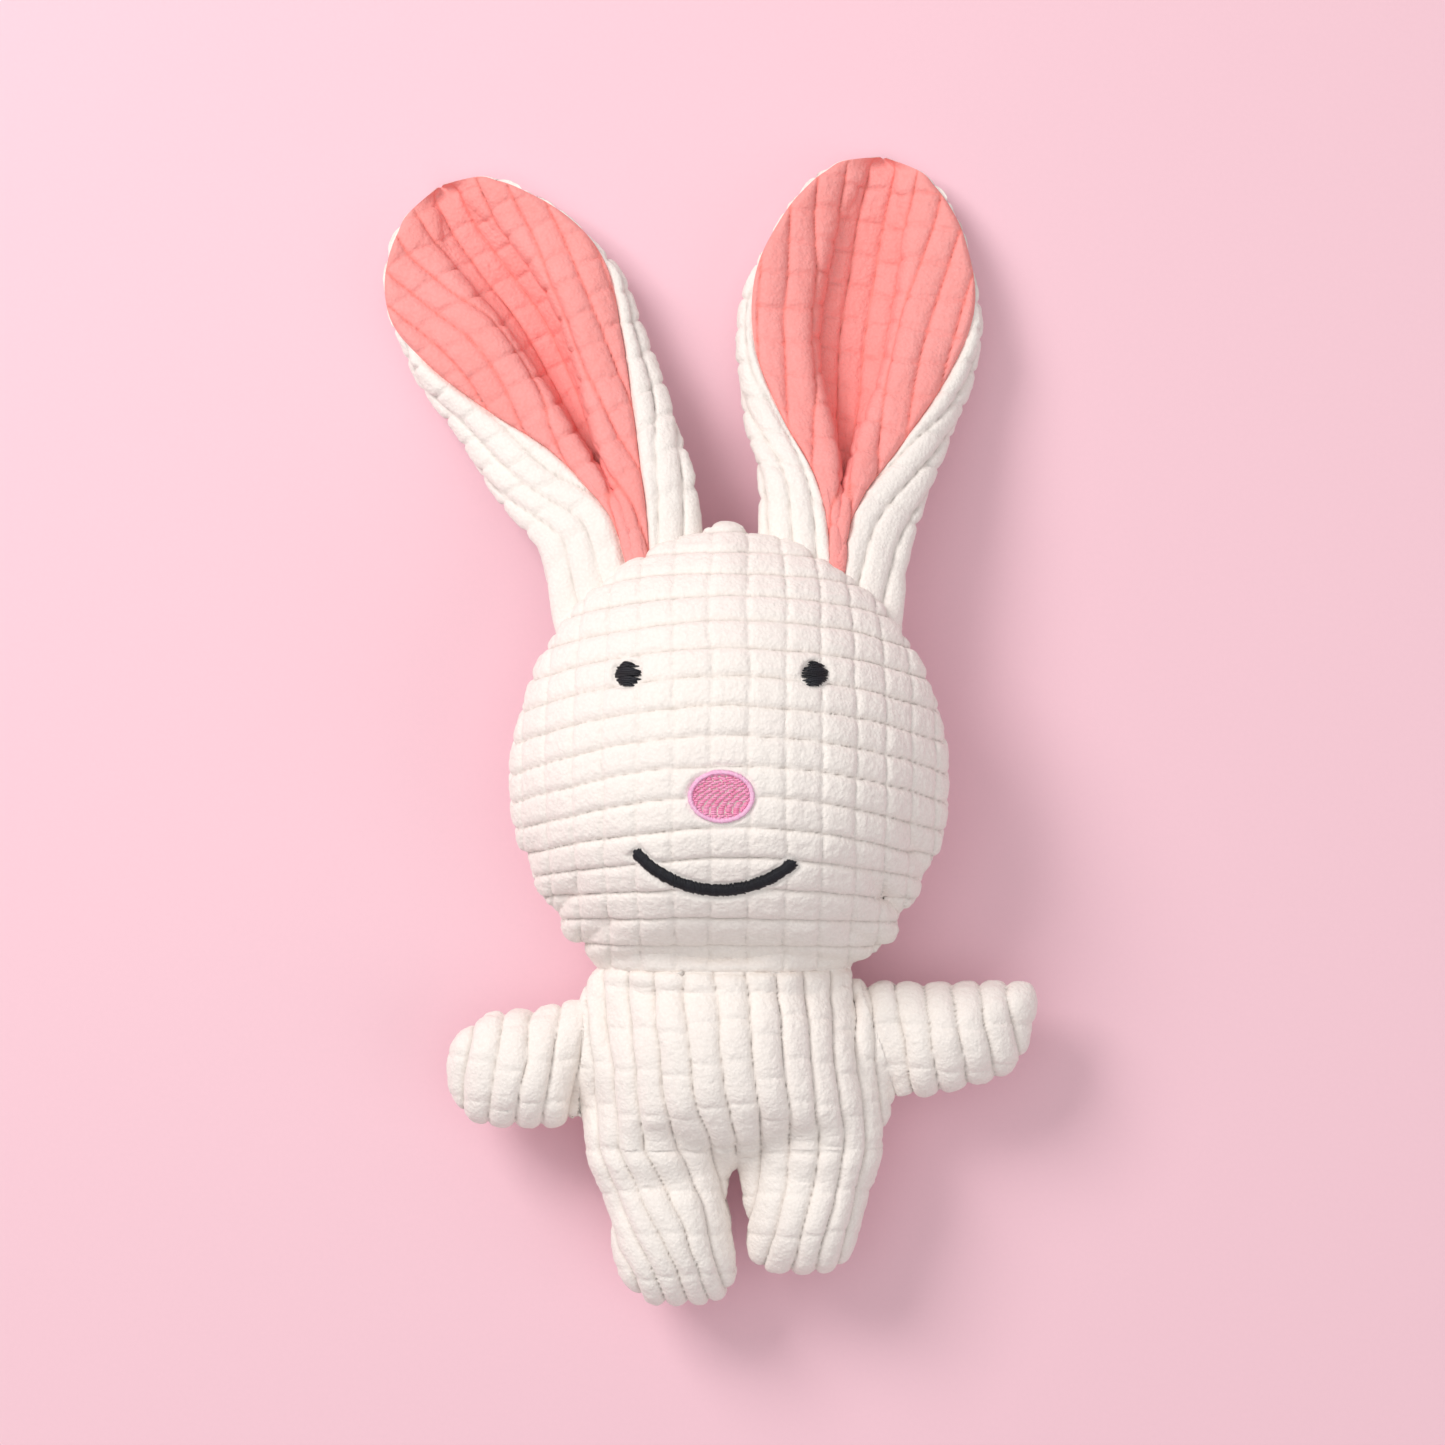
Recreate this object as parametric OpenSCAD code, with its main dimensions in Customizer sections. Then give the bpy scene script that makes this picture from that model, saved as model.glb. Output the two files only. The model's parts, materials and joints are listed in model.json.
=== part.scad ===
// Stuffed rabbit of checked corduroy plush, lying on its back.
// Origin: middle of the torso's back, on the surface that the toy lies on.
// +X to the viewer's right, +Y towards the ears, +Z out of the face. Millimetres.
// Left and right are those of someone who looks at the face.

/* [Head] */
// Width of the stuffed head
head_w = 115; // [95:1:140]
// Widest level of the head up to the crown
head_rise = 68; // [56:1:82]
// Neck seam up to the widest level of the head
head_drop = 49; // [40:1:60]
// Thickness of the stuffed head, front to back
head_depth = 73; // [60:1:88]
// Width of the neck seam
neck_w = 70; // [58:1:84]
// Sideways set of the head over the neck
head_shift = 2; // [-4:0.5:4]

/* [Torso] */
// Neck seam down to the crotch
torso_h = 50; // [40:1:62]
// Width of the torso at the hips
hip_w = 81; // [66:1:96]
// Sideways set of the hips under the neck
hip_shift = 3; // [-4:0.5:4]
// Thickness of the stuffed torso, front to back
torso_depth = 47; // [38:1:57]

/* [Arms] */
// Shoulder crease out to the tip
arm_l = 36; // [29:1:44]
// Width of an arm where it leaves the shoulder
arm_root_w = 33; // [26:1:40]
// Width of an arm near its tip
arm_tip_w = 24; // [18:1:28]
// Thickness of a stuffed arm
arm_depth = 24; // [19:1:29]
// How far the left arm hangs below the level, in degrees
arm_left_droop = 11; // [0:1:20]
// How far the right arm hangs below the level, in degrees
arm_right_droop = -2; // [-10:1:20]

/* [Legs] */
// Length of the left leg below the hip crease
leg_left_l = 40; // [32:1:48]
// Length of the right leg below the hip crease
leg_right_l = 33; // [27:1:40]
// Width of a leg at the foot
foot_w = 25; // [20:1:30]
// Distance between the middles of the feet
foot_spread = 29; // [26:1:34]
// Sideways set of the feet under the neck
foot_shift = 5.5; // [0:0.5:8]
// Gap between the legs
leg_gap = 4; // [3:0.5:8]
// Thickness of a stuffed leg
leg_depth = 27; // [22:1:33]

/* [Ears] */
// Seam up to the tip of an ear
ear_l = 108; // [90:1:130]
// Width of an ear at its widest
ear_w = 61; // [50:1:72]
// Width of the pleated base of an ear
ear_base_w = 42; // [34:1:51]
// Depth of the ear's trough
ear_trough = 17; // [13:1:20]
// Lean of the left ear away from the crown, in degrees
ear_left_lean = 26; // [10:1:35]
// Lean of the right ear away from the crown, in degrees
ear_right_lean = 5; // [0:1:35]
// Gap on the crown between the bases of the ears
ear_gap = 13.5; // [8:0.5:20]

/* [Face] */
// Diameter of a stitched eye
eye_d = 6.3; // [4:0.1:9]
// Distance between the eyes
eye_gap = 48; // [38:1:58]
// Height of the eyes above the widest level of the head
eye_level = 28; // [20:1:36]
// Width of the nose
nose_w = 17; // [13:0.5:22]
// Height of the nose
nose_h = 13.6; // [10:0.2:17]
// Width of the smile
mouth_w = 42; // [34:1:52]
// Sag of the smile below its ends
mouth_sag = 9.5; // [6:0.5:14]
// Width of the smile's satin stitch
mouth_stitch_w = 2.8; // [2:0.1:4]

/* [Cloth] */
// Thickness of the plush cloth with its pile
cloth_t = 2; // [1.4:0.1:2.8]
// Thickness of one layer of an ear
ear_cloth_t = 1.6; // [1:0.1:2]
// How far the embroidery stands on the cloth
stitch_t = 0.8; // [0.5:0.1:1.5]
// Number of ladder stitches that close the back
closing_stitches_n = 6; // [3:1:8]

/* [Hidden] */

cream = [0.96, 0.94, 0.91];
coral = [0.95, 0.60, 0.57];
nose_pink = [0.95, 0.61, 0.76];
thread_black = [0.12, 0.12, 0.15];
fibre = [0.98, 0.98, 0.98];

// Half of the open line left at each crease, so that the folding parts never rub.
crease_gap = 0.4;
// Half of the line between a front and a back panel, where the seam's thread lies.
seam_gap = 0.1;
// Room between a cover and its filling.
fill_gap = 0.3;
// Embroidery clears the cloth by this much.
stitch_gap = 0.05;
// How steeply a stuffed part rises from its seam: higher is fuller.
fullness = 2.6;
limb_fullness = 2.3;

neck_y = torso_h / 2;
// The hip crease lies a little above the crotch.
hip_y = neck_y - torso_h + 3.5;
head_mid = [head_shift, neck_y + head_drop];
head_mid_z = head_depth / 2;
// The half ellipse below the widest level passes through the ends of the neck seam.
head_low_ry = head_drop / sqrt(1 - pow(neck_w / head_w, 2));
// The torso and the head are pressed flat by this much where they lie on the surface.
rest_press = 2.5;
seam_z = torso_depth / 2;
hip_left = hip_shift - hip_w / 2;
hip_right = hip_shift + hip_w / 2;

// Creases from top to bottom: the left shoulder is nearly upright, and the right one slopes out to the armpit.
shoulder_room = 5;
shoulder_left = [[-neck_w / 2, neck_y], [hip_left - 0.5, hip_y + 4]];
shoulder_right_turn = -71.5;
shoulder_right_l = arm_root_w + shoulder_room;
shoulder_right = [
    [neck_w / 2, neck_y],
    [neck_w / 2 + shoulder_right_l * cos(shoulder_right_turn), neck_y + shoulder_right_l * sin(shoulder_right_turn)]
];

// ---- Outlines ----

function unit(v) = v / norm(v);
function lerp(a, b, t) = a + (b - a) * t;
function ease(t) = let (x = max(0, min(1, t))) x * x * (3 - 2 * x);

// Arc of radius r that rounds the corner p between its neighbours a and b, as n + 1 points.
function corner_arc(a, p, b, r, n) =
    let (
        u = unit(a - p),
        w = unit(b - p),
        half = acos(u * w) / 2,
        reach = r / tan(half),
        centre = p + unit(u + w) * r / sin(half),
        from = p + u * reach - centre,
        to = p + w * reach - centre,
        first = atan2(from.y, from.x),
        turn = atan2(from.x * to.y - from.y * to.x, from * to)
    )
    [for (i = [0:n]) centre + r * [cos(first + turn * i / n), sin(first + turn * i / n)]];

function xy(p) = [p.x, p.y];

// Rounded outline through corners given as [x, y, radius], with one point more in the middle of each side.
function rounded(corners, n = 4) =
    let (
        count = len(corners),
        arcs = [
            for (i = [0:count - 1])
            let (a = corners[(i + count - 1) % count], p = corners[i], b = corners[(i + 1) % count])
            corner_arc(xy(a), xy(p), xy(b), p.z, n)
        ]
    )
    [for (i = [0:count - 1]) each concat(arcs[i], [(arcs[i][n] + arcs[(i + 1) % count][0]) / 2])];

function middle(outline) = ([for (p = outline) 1] * outline) / len(outline);

// The head: two half ellipses, cut off straight at the neck seam.
head_sides = 32;
neck_points = 6;
head_turn = asin(head_drop / head_low_ry);
head_low = neck_y + crease_gap;
head_outline = concat(
    [
        for (i = [0:head_sides])
        let (
            a = lerp(-head_turn, 180 + head_turn, i / head_sides),
            ry = sin(a) < 0 ? head_low_ry : head_rise
        )
        [head_mid.x + head_w / 2 * cos(a), max(head_low, head_mid.y + ry * sin(a))]
    ],
    [for (i = [1:neck_points - 1]) [head_mid.x + lerp(-neck_w / 2, neck_w / 2, i / neck_points), head_low]]
);

torso_outline = rounded([
    [shoulder_right[0].x - crease_gap, neck_y - crease_gap, 3],
    [shoulder_left[0].x + crease_gap, neck_y - crease_gap, 3],
    [shoulder_left[1].x + crease_gap, shoulder_left[1].y, 3],
    [hip_left, hip_y + crease_gap, 1],
    [hip_right, hip_y + crease_gap, 3],
    [shoulder_right[1].x - crease_gap, shoulder_right[1].y, 4]
]);

// An arm beside its crease, reaching out to side -1 or 1 and hanging by droop.
function arm_outline(crease, side, droop) =
    let (
        along = unit(crease[0] - crease[1]),
        out = [along.y, -along.x] * side,
        low = crease[1] + out * crease_gap,
        high = low + along * arm_root_w,
        reach = [side * cos(droop), -sin(droop)],
        across = [reach.y, -reach.x] * -side,
        tip = (low + high) / 2 + reach * (arm_l - crease_gap),
        tip_high = tip + across * arm_tip_w / 2,
        tip_low = tip - across * arm_tip_w / 2,
        corners = [
            [low.x, low.y, 2],
            [high.x, high.y, 2],
            [tip_high.x, tip_high.y, arm_tip_w * 0.4],
            [tip_low.x, tip_low.y, arm_tip_w * 0.4]
        ]
    )
    side > 0 ? rounded([corners[3], corners[2], corners[1], corners[0]]) : rounded(corners);

// A leg below the hip crease between the x values low_x and high_x, with its foot round foot_x.
function leg_outline(low_x, high_x, foot_x, length) =
    let (top = hip_y - crease_gap, low = hip_y - length)
    rounded([
        [high_x, top, 2],
        [low_x, top, 2],
        [foot_x - foot_w / 2, low, foot_w * 0.26],
        [foot_x + foot_w / 2, low, foot_w * 0.26]
    ]);

// ---- Stuffed shapes ----

// Rise of a stuffed part above its seam at share s of the way from the middle out to the seam.
function swell(s, p) = 1 - pow(s, p);

// The seam lies level on the torso and limbs, and climbs from the neck up to the middle of the head.
level_seam = function(p) seam_z;
head_seam = function(p) p.y > head_mid.y
    ? head_mid_z
    : lerp(head_mid_z, seam_z, pow((head_mid.y - p.y) / head_drop, 2));

// Shares of the rings of points, closer together near the seam where the surface turns fastest.
function shares(rings) = [for (k = [0:rings - 1]) cos(90 * k / rings)];

// Rings of points over an outline from its rim inwards, then the one in the middle.
function dome(outline, c, rise, p, side, seam, lowest, rings) =
    concat(
        [
            for (s = shares(rings), q = outline)
            let (at = c + (q - c) * s)
            [at.x, at.y, max(lowest, seam(at) + side * (seam_gap + rise * swell(s, p)))]
        ],
        [[c.x, c.y, max(lowest, seam(c) + side * (seam_gap + rise))]]
    );

// An outline drawn in by t towards c.
function inset(outline, c, t) = [for (q = outline) c + (q - c) * (1 - t / norm(q - c))];

// Triangles of a dome of n points a ring.
function dome_faces(start, rings, n) = concat(
    [
        for (k = [0:rings - 2], i = [0:n - 1])
        let (a = start + k * n + i, b = start + k * n + (i + 1) % n)
        each [[a, a + n, b], [b, a + n, b + n]]
    ],
    [
        for (i = [0:n - 1])
        let (k = start + (rings - 1) * n)
        [k + i, start + rings * n, k + (i + 1) % n]
    ]
);

function flip(faces) = [for (f = faces) [f[0], f[2], f[1]]];

// Closed solid between two domes with the same rings, the upper one on the outside of side 1 or -1.
module between_domes(upper, lower, rings, n, side) {
    start = rings * n + 1;
    rim = [
        for (i = [0:n - 1])
        let (j = (i + 1) % n)
        each [[i, j, start + i], [j, start + j, start + i]]
    ];
    faces = concat(dome_faces(0, rings, n), flip(dome_faces(start, rings, n)), rim);
    polyhedron(points = concat(upper, lower), faces = side > 0 ? faces : flip(faces));
}

// One half of a stuffed cover: a domed sheet of cloth on one side of the seam.
module cover(outline, c, rise, p, side, seam, rings) {
    between_domes(
        dome(outline, c, rise, p, side, seam, -rest_press / 2, rings),
        dome(inset(outline, c, cloth_t), c, rise - cloth_t, p, side, seam, cloth_t, rings),
        rings,
        len(outline),
        side
    );
}

// Takes off what would reach below the surface that the toy lies on, which leaves one flat patch.
module rest_flat() {
    reach = 2 * (head_w + ear_l + torso_h);
    difference() {
        children();
        translate([-reach / 2, -reach / 2, -rest_press]) cube([reach, reach, rest_press]);
    }
}

// The filling between a front and a back cover, with the same rings as theirs so that it nests in them.
module filling(outline, c, front_rise, back_rise, p, seam, rings) {
    t = cloth_t + fill_gap;
    inner = inset(outline, c, t);
    between_domes(
        dome(inner, c, front_rise - t, p, 1, seam, t, rings),
        dome(inner, c, back_rise - t, p, -1, seam, t, rings),
        rings,
        len(inner),
        1
    );
}

// ---- Sheets ----

// Closed solid between two grids of points of cols points a row. A looped grid joins its last row to its first.
module between_grids(upper, lower, cols, looped = false) {
    rows = len(upper) / cols;
    n = len(upper);
    last = looped ? rows - 1 : rows - 2;
    skin = [
        for (j = [0:last], i = [0:cols - 2])
        let (a = j * cols + i, b = (j + 1) % rows * cols + i)
        each [[a, b, a + 1], [a + 1, b, b + 1]]
    ];
    sides = [
        for (j = [0:last])
        let (a = j * cols, b = (j + 1) % rows * cols, c = a + cols - 1, d = b + cols - 1)
        each [[a, n + a, b], [b, n + a, n + b], [c, d, n + c], [d, n + d, n + c]]
    ];
    ends = looped ? [] : [
        for (i = [0:cols - 2])
        let (a = i, b = n - cols + i)
        each [[a, a + 1, n + a], [a + 1, n + a + 1, n + a], [b, n + b, b + 1], [b + 1, n + b, n + b + 1]]
    ];
    low = [for (f = skin) [f[0] + n, f[2] + n, f[1] + n]];
    polyhedron(points = concat(upper, lower), faces = concat(skin, low, sides, ends));
}

// ---- Face ----

head_front_rise = head_depth - head_mid_z;

// Share of the way out to the head's outline at a point, as the covers' rings have it.
function head_share(p) =
    let (x = (p.x - head_mid.x) / (head_w / 2), y = p.y - head_mid.y, ry = y > 0 ? head_rise : head_low_ry)
    max(norm([x, y / ry]), -y / (head_mid.y - head_low));

// Point on the face, lifted off the cloth.
function on_face(p, lift) =
    [p.x, p.y, head_seam(p) + seam_gap + head_front_rise * swell(head_share(p), fullness) + lift];

// Oval of thread on the face, domed like its filling stitches.
module stitched_oval(centre, w, h, rings = 3, n = 20) {
    flat = [
        for (s = shares(rings), i = [0:n - 1])
        centre + s * [w / 2 * cos(360 * i / n), h / 2 * sin(360 * i / n)]
    ];
    function layer(lift) = [for (p = concat(flat, [centre])) on_face(p, lift)];
    between_domes(layer(stitch_gap + stitch_t), layer(stitch_gap), rings, n, 1);
}

eye_y = head_mid.y + eye_level;
module eye(side) {
    color(thread_black) stitched_oval([side * eye_gap / 2, eye_y], eye_d, eye_d);
}
module eye_left() { eye(-1); }
module eye_right() { eye(1); }

nose_centre = [0, head_mid.y - 3];
nose_border_w = 1.6;
module nose() {
    color(nose_pink)
    stitched_oval(
        nose_centre, nose_w - 2 * (nose_border_w + stitch_gap), nose_h - 2 * (nose_border_w + stitch_gap), 3, 28
    );
}

module nose_border(n = 28) {
    flat = [
        for (i = [0:n - 1], inward = [nose_border_w, 0])
        nose_centre + [(nose_w / 2 - inward) * cos(360 * i / n), (nose_h / 2 - inward) * sin(360 * i / n)]
    ];
    function layer(lift) = [for (p = flat) on_face(p, lift)];
    color(nose_pink) between_grids(layer(stitch_gap + stitch_t), layer(stitch_gap), 2, looped = true);
}

mouth_top_y = head_mid.y - 18;
module mouth(n = 22) {
    r = (pow(mouth_w / 2, 2) + pow(mouth_sag, 2)) / (2 * mouth_sag);
    centre = [-0.5, mouth_top_y - mouth_sag + r];
    half = asin(mouth_w / 2 / r);
    flat = [
        for (i = [0:n], side = [-1, 1])
        let (a = -90 - half + 2 * half * i / n)
        centre + (r + side * mouth_stitch_w / 2) * [cos(a), sin(a)]
    ];
    function layer(lift) = [for (p = flat) on_face(p, lift)];
    color(thread_black) between_grids(layer(stitch_gap + stitch_t), layer(stitch_gap), 2);
}

// ---- Head ----

head_rings = 6;
module face_panel() {
    color(cream) cover(head_outline, head_mid, head_front_rise, fullness, 1, head_seam, head_rings);
}
module head_back_panel() {
    color(cream)
    rest_flat()
    cover(head_outline, head_mid, head_mid_z + rest_press, fullness, -1, head_seam, head_rings);
}
module head_stuffing() {
    color(fibre)
    filling(head_outline, head_mid, head_front_rise, head_mid_z + rest_press, fullness, head_seam, head_rings);
}

// ---- Ears ----

// Place on the head's outline where an ear's base is sewn in, and the slope of the outline there.
ear_spread = ear_gap / 2 + ear_base_w / 2 * 0.87;
function ear_base(side) =
    let (x = side * ear_spread / (head_w / 2))
    [head_mid.x + side * ear_spread, head_mid.y + head_rise * sqrt(1 - x * x)];
function ear_slope(side) =
    let (x = side * ear_spread / (head_w / 2))
    atan2(-head_rise * x, head_w / 2 * sqrt(1 - x * x));

ear_hinge_off = 1.2;
ear_start = 2;
ear_fold_half = 2.4;
ear_floor = 1.5;
ear_widest = 0.56;
ear_cols = 15;
ear_rows = 12;

// Half-width of the ear at share v of its length.
function ear_half(v) = v < ear_widest
    ? lerp(ear_base_w / 2, ear_w / 2, ease(v / ear_widest))
    : ear_w / 2 * sqrt(max(0, 1 - pow((v - ear_widest) / (1 - ear_widest), 2)));

// Half-angle that the cloth wraps round the trough: shut over the front at the base, open at the tip.
function ear_wrap(v) = lerp(168, 40, pow(v, 0.6));
// Depth radius of the trough, pressed flat where it is sewn in.
function ear_round(v) = lerp(ear_fold_half, ear_trough, ease(v / 0.5));
// Height of the trough's floor, as the ear hangs down to the surface.
function ear_floor_z(v) = lerp(head_mid_z - ear_fold_half, ear_floor + ear_cloth_t + seam_gap, 1 - pow(1 - v, 1.6));

// Point of an ear at share v along it and u across it from -1 to 1, offset out of the trough by off.
function ear_point(side, lean, u, v, off) =
    let (
        slope = ear_slope(side),
        out = [-sin(slope), cos(slope)],
        axis = [side * sin(lean), cos(lean)],
        turn = lerp(slope, -side * lean, ease(v / 0.35)),
        cross = [cos(turn), sin(turn)],
        start = ear_base(side) + out * (ear_hinge_off + ear_start),
        wrap = ear_wrap(v),
        half = ear_half(v),
        depth = ear_round(v),
        wide = (half + off) / sin(min(wrap, 90)),
        flat = start + axis * v * (ear_l - ear_start) + cross * wide * sin(wrap * u)
    )
    [flat.x, flat.y, ear_floor_z(v) + depth - (depth + off) * cos(wrap * u)];

function ear_grid(side, lean, off) = [
    for (j = [0:ear_rows - 1], i = [0:ear_cols - 1])
    let (v = 0.992 * sin(90 * j / (ear_rows - 1)), u = -1 + 2 * i / (ear_cols - 1))
    ear_point(side, lean, u, v, off)
];

// One layer of an ear between two offsets from the line where its layers meet.
module ear_layer(side, lean, low, high) {
    between_grids(ear_grid(side, lean, high), ear_grid(side, lean, low), ear_cols);
}
module ear_lining(side, lean) {
    color(coral) ear_layer(side, lean, -seam_gap, -seam_gap - ear_cloth_t);
}
module ear_back(side, lean) {
    color(cream) ear_layer(side, lean, seam_gap + ear_cloth_t, seam_gap);
}
module ear_left_lining() { ear_lining(-1, ear_left_lean); }
module ear_left_back() { ear_back(-1, ear_left_lean); }
module ear_right_lining() { ear_lining(1, ear_right_lean); }
module ear_right_back() { ear_back(1, ear_right_lean); }

// ---- Torso ----

torso_c = middle(torso_outline);
torso_rings = 6;
torso_back_rise = seam_z + rest_press;
module torso_front() {
    color(cream) cover(torso_outline, torso_c, torso_depth - seam_z, fullness, 1, level_seam, torso_rings);
}
module torso_back() {
    color(cream)
    rest_flat()
    cover(torso_outline, torso_c, torso_back_rise, fullness, -1, level_seam, torso_rings);
}
module torso_stuffing() {
    color(fibre)
    filling(torso_outline, torso_c, torso_depth - seam_z, torso_back_rise, fullness, level_seam, torso_rings);
}

// ---- Limbs ----

limb_rings = 5;
module limb_cover(outline, depth, side) {
    color(cream) cover(outline, middle(outline), depth / 2, limb_fullness, side, level_seam, limb_rings);
}
module limb_filling(outline, depth) {
    color(fibre)
    filling(outline, middle(outline), depth / 2, depth / 2, limb_fullness, level_seam, limb_rings);
}

arm_left = arm_outline(shoulder_left, -1, arm_left_droop);
module arm_left_front() { limb_cover(arm_left, arm_depth, 1); }
module arm_left_back() { limb_cover(arm_left, arm_depth, -1); }
module arm_left_stuffing() { limb_filling(arm_left, arm_depth); }

arm_right = arm_outline(shoulder_right, 1, arm_right_droop);
module arm_right_front() { limb_cover(arm_right, arm_depth, 1); }
module arm_right_back() { limb_cover(arm_right, arm_depth, -1); }
module arm_right_stuffing() { limb_filling(arm_right, arm_depth); }

crotch_x = hip_shift;
leg_left = leg_outline(hip_left, crotch_x - leg_gap / 2, foot_shift - foot_spread / 2, leg_left_l);
module leg_left_front() { limb_cover(leg_left, leg_depth, 1); }
module leg_left_back() { limb_cover(leg_left, leg_depth, -1); }
module leg_left_stuffing() { limb_filling(leg_left, leg_depth); }

leg_right = leg_outline(crotch_x + leg_gap / 2, hip_right, foot_shift + foot_spread / 2, leg_right_l);
module leg_right_front() { limb_cover(leg_right, leg_depth, 1); }
module leg_right_back() { limb_cover(leg_right, leg_depth, -1); }
module leg_right_stuffing() { limb_filling(leg_right, leg_depth); }

// ---- Closing seam ----

// Small ladder stitches across the lower back, where the torso's cover rises off the surface.
stitch_r = 0.4;
stitch_l = 3;
stitch_pitch = 3.2;
stitch_room = 0.2;
stitch_share = 0.78;
module closing_stitches() {
    low_y = hip_y + crease_gap;
    half = torso_c.y - low_y;
    back_z = seam_z - seam_gap - torso_back_rise * swell(stitch_share, fullness);
    // Lean of the cover there from upright.
    lean = atan(half / (torso_back_rise * fullness * pow(stitch_share, fullness - 1)));
    color(cream)
    for (i = [0:closing_stitches_n - 1])
        translate([
            torso_c.x + (i - (closing_stitches_n - 1) / 2) * stitch_pitch,
            torso_c.y - half * stitch_share,
            back_z
        ])
            rotate([lean, 0, 0])
                translate([0, -stitch_r - stitch_room, -stitch_l / 2])
                    cylinder(h = stitch_l, r = stitch_r, $fn = 24);
}

// ---- Drawing ----

face_panel();
head_back_panel();
head_stuffing();
eye_left();
eye_right();
nose();
nose_border();
mouth();
ear_left_lining();
ear_left_back();
ear_right_lining();
ear_right_back();
torso_front();
torso_back();
torso_stuffing();
closing_stitches();
arm_left_front();
arm_left_back();
arm_left_stuffing();
arm_right_front();
arm_right_back();
arm_right_stuffing();
leg_left_front();
leg_left_back();
leg_left_stuffing();
leg_right_front();
leg_right_back();
leg_right_stuffing();
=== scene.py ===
# %% [markdown]
# # A stuffed rabbit of checked corduroy plush
#
# The toy lies on its back. It is sewn from a few panels of plush whose pile stands in rows of small
# blocks, with an open knit line between the rows. The head, body, arms and legs are stuffed, the ears
# are two layers of cloth with nothing between them, and the face is stitched on with thread.
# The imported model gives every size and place, in metres, with +Z up out of the face.

# %% The frame that everything is built round
import json
import math

import bmesh
import bpy
import numpy as np
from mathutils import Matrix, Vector
from mathutils.bvhtree import BVHTree


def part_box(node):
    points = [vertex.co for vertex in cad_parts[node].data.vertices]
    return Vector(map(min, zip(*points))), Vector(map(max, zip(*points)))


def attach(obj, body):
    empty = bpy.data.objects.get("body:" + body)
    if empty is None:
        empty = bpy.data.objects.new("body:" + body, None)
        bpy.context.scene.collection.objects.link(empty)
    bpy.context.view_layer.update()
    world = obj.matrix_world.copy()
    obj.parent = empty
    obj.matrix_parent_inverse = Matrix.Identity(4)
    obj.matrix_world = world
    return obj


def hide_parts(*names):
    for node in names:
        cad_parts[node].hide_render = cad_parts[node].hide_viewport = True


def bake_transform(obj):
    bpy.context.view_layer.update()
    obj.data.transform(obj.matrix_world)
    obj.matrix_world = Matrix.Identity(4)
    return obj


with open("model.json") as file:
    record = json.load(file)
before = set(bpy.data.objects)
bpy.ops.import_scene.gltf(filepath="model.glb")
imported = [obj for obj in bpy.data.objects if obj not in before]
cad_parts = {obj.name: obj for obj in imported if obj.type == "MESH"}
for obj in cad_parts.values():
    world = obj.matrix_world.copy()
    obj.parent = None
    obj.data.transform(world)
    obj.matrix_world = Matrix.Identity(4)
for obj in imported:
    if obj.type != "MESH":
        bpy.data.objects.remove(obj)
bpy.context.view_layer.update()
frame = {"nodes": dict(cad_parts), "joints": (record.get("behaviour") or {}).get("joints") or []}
joints = {joint["name"]: joint for joint in frame["joints"]}
print("pieces in the frame:", len(frame["nodes"]), "joints:", sorted(joints))

# %% Short helpers for numbers
MM = 0.001
CELL_PRIMES = np.array((374761393, 668265263, 2147483647))
MIXING_PRIME = 1274126177
WORD = 0xFFFFFFFF
HALF_WORD = 0xFFFF


def smooth(t):
    """Eased step from 0 to 1."""
    t = np.clip(t, 0, 1)
    return t * t * (3 - 2 * t)


def bell(d, width):
    """Bump of height 1 that has died away at about twice the width."""
    return np.exp(-((d / width) ** 2))


def lattice(cells, seed):
    """A number from 0 to 1 for each whole-numbered cell, always the same for the same seed."""
    h = ((cells.astype(np.int64) * CELL_PRIMES).sum(axis=-1) + seed * MIXING_PRIME) & WORD
    h = ((h ^ (h >> 13)) * MIXING_PRIME) & WORD
    return ((h ^ (h >> 16)) & HALF_WORD) / HALF_WORD


def noise(points, size, seed):
    """Smooth noise from -1 to 1 whose lumps are about size across."""
    base = np.floor(points / size)
    f = smooth(points / size - base)
    total = 0
    for corner in np.ndindex(2, 2, 2):
        c = np.array(corner)
        share = np.prod(np.where(c == 1, f, 1 - f), axis=-1)
        total = total + share * lattice(base + c, seed)
    return total * 2 - 1


# %% Short helpers for meshes
def only(*objects):
    """Select these objects and nothing else."""
    bpy.ops.object.select_all(action="DESELECT")
    for o in objects:
        o.select_set(True)
    bpy.context.view_layer.objects.active = objects[0]


def places(o):
    """Places of a mesh's points, as rows of x, y, z."""
    flat = np.empty(len(o.data.vertices) * 3)
    o.data.vertices.foreach_get("co", flat)
    return flat.reshape(-1, 3)


def normals(o):
    """Outward directions at a mesh's points."""
    flat = np.empty(len(o.data.vertices) * 3)
    o.data.vertex_normals.foreach_get("vector", flat)
    return flat.reshape(-1, 3)


def place(o, points):
    """Put a mesh's points at these places."""
    o.data.vertices.foreach_set("co", np.ascontiguousarray(points, float).ravel())
    o.data.update()


def edit(o, operation, **settings):
    """Run an editing operation on all of a mesh."""
    only(o)
    bpy.ops.object.mode_set(mode="EDIT")
    bpy.ops.mesh.select_all(action="SELECT")
    operation(**settings)
    bpy.ops.object.mode_set(mode="OBJECT")


def face_outwards(o):
    """Make the faces of a closed mesh look outwards."""
    edit(o, bpy.ops.mesh.normals_make_consistent, inside=False)


def shade_smooth(o):
    """Shade a piece as one smooth surface."""
    only(o)
    bpy.ops.object.shade_smooth()


def new_object(name, verts, faces):
    """A new object with a mesh of these points and faces."""
    mesh = bpy.data.meshes.new(name)
    mesh.from_pydata(verts, [], faces)
    o = bpy.data.objects.new(name, mesh)
    bpy.context.scene.collection.objects.link(o)
    return o


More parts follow.
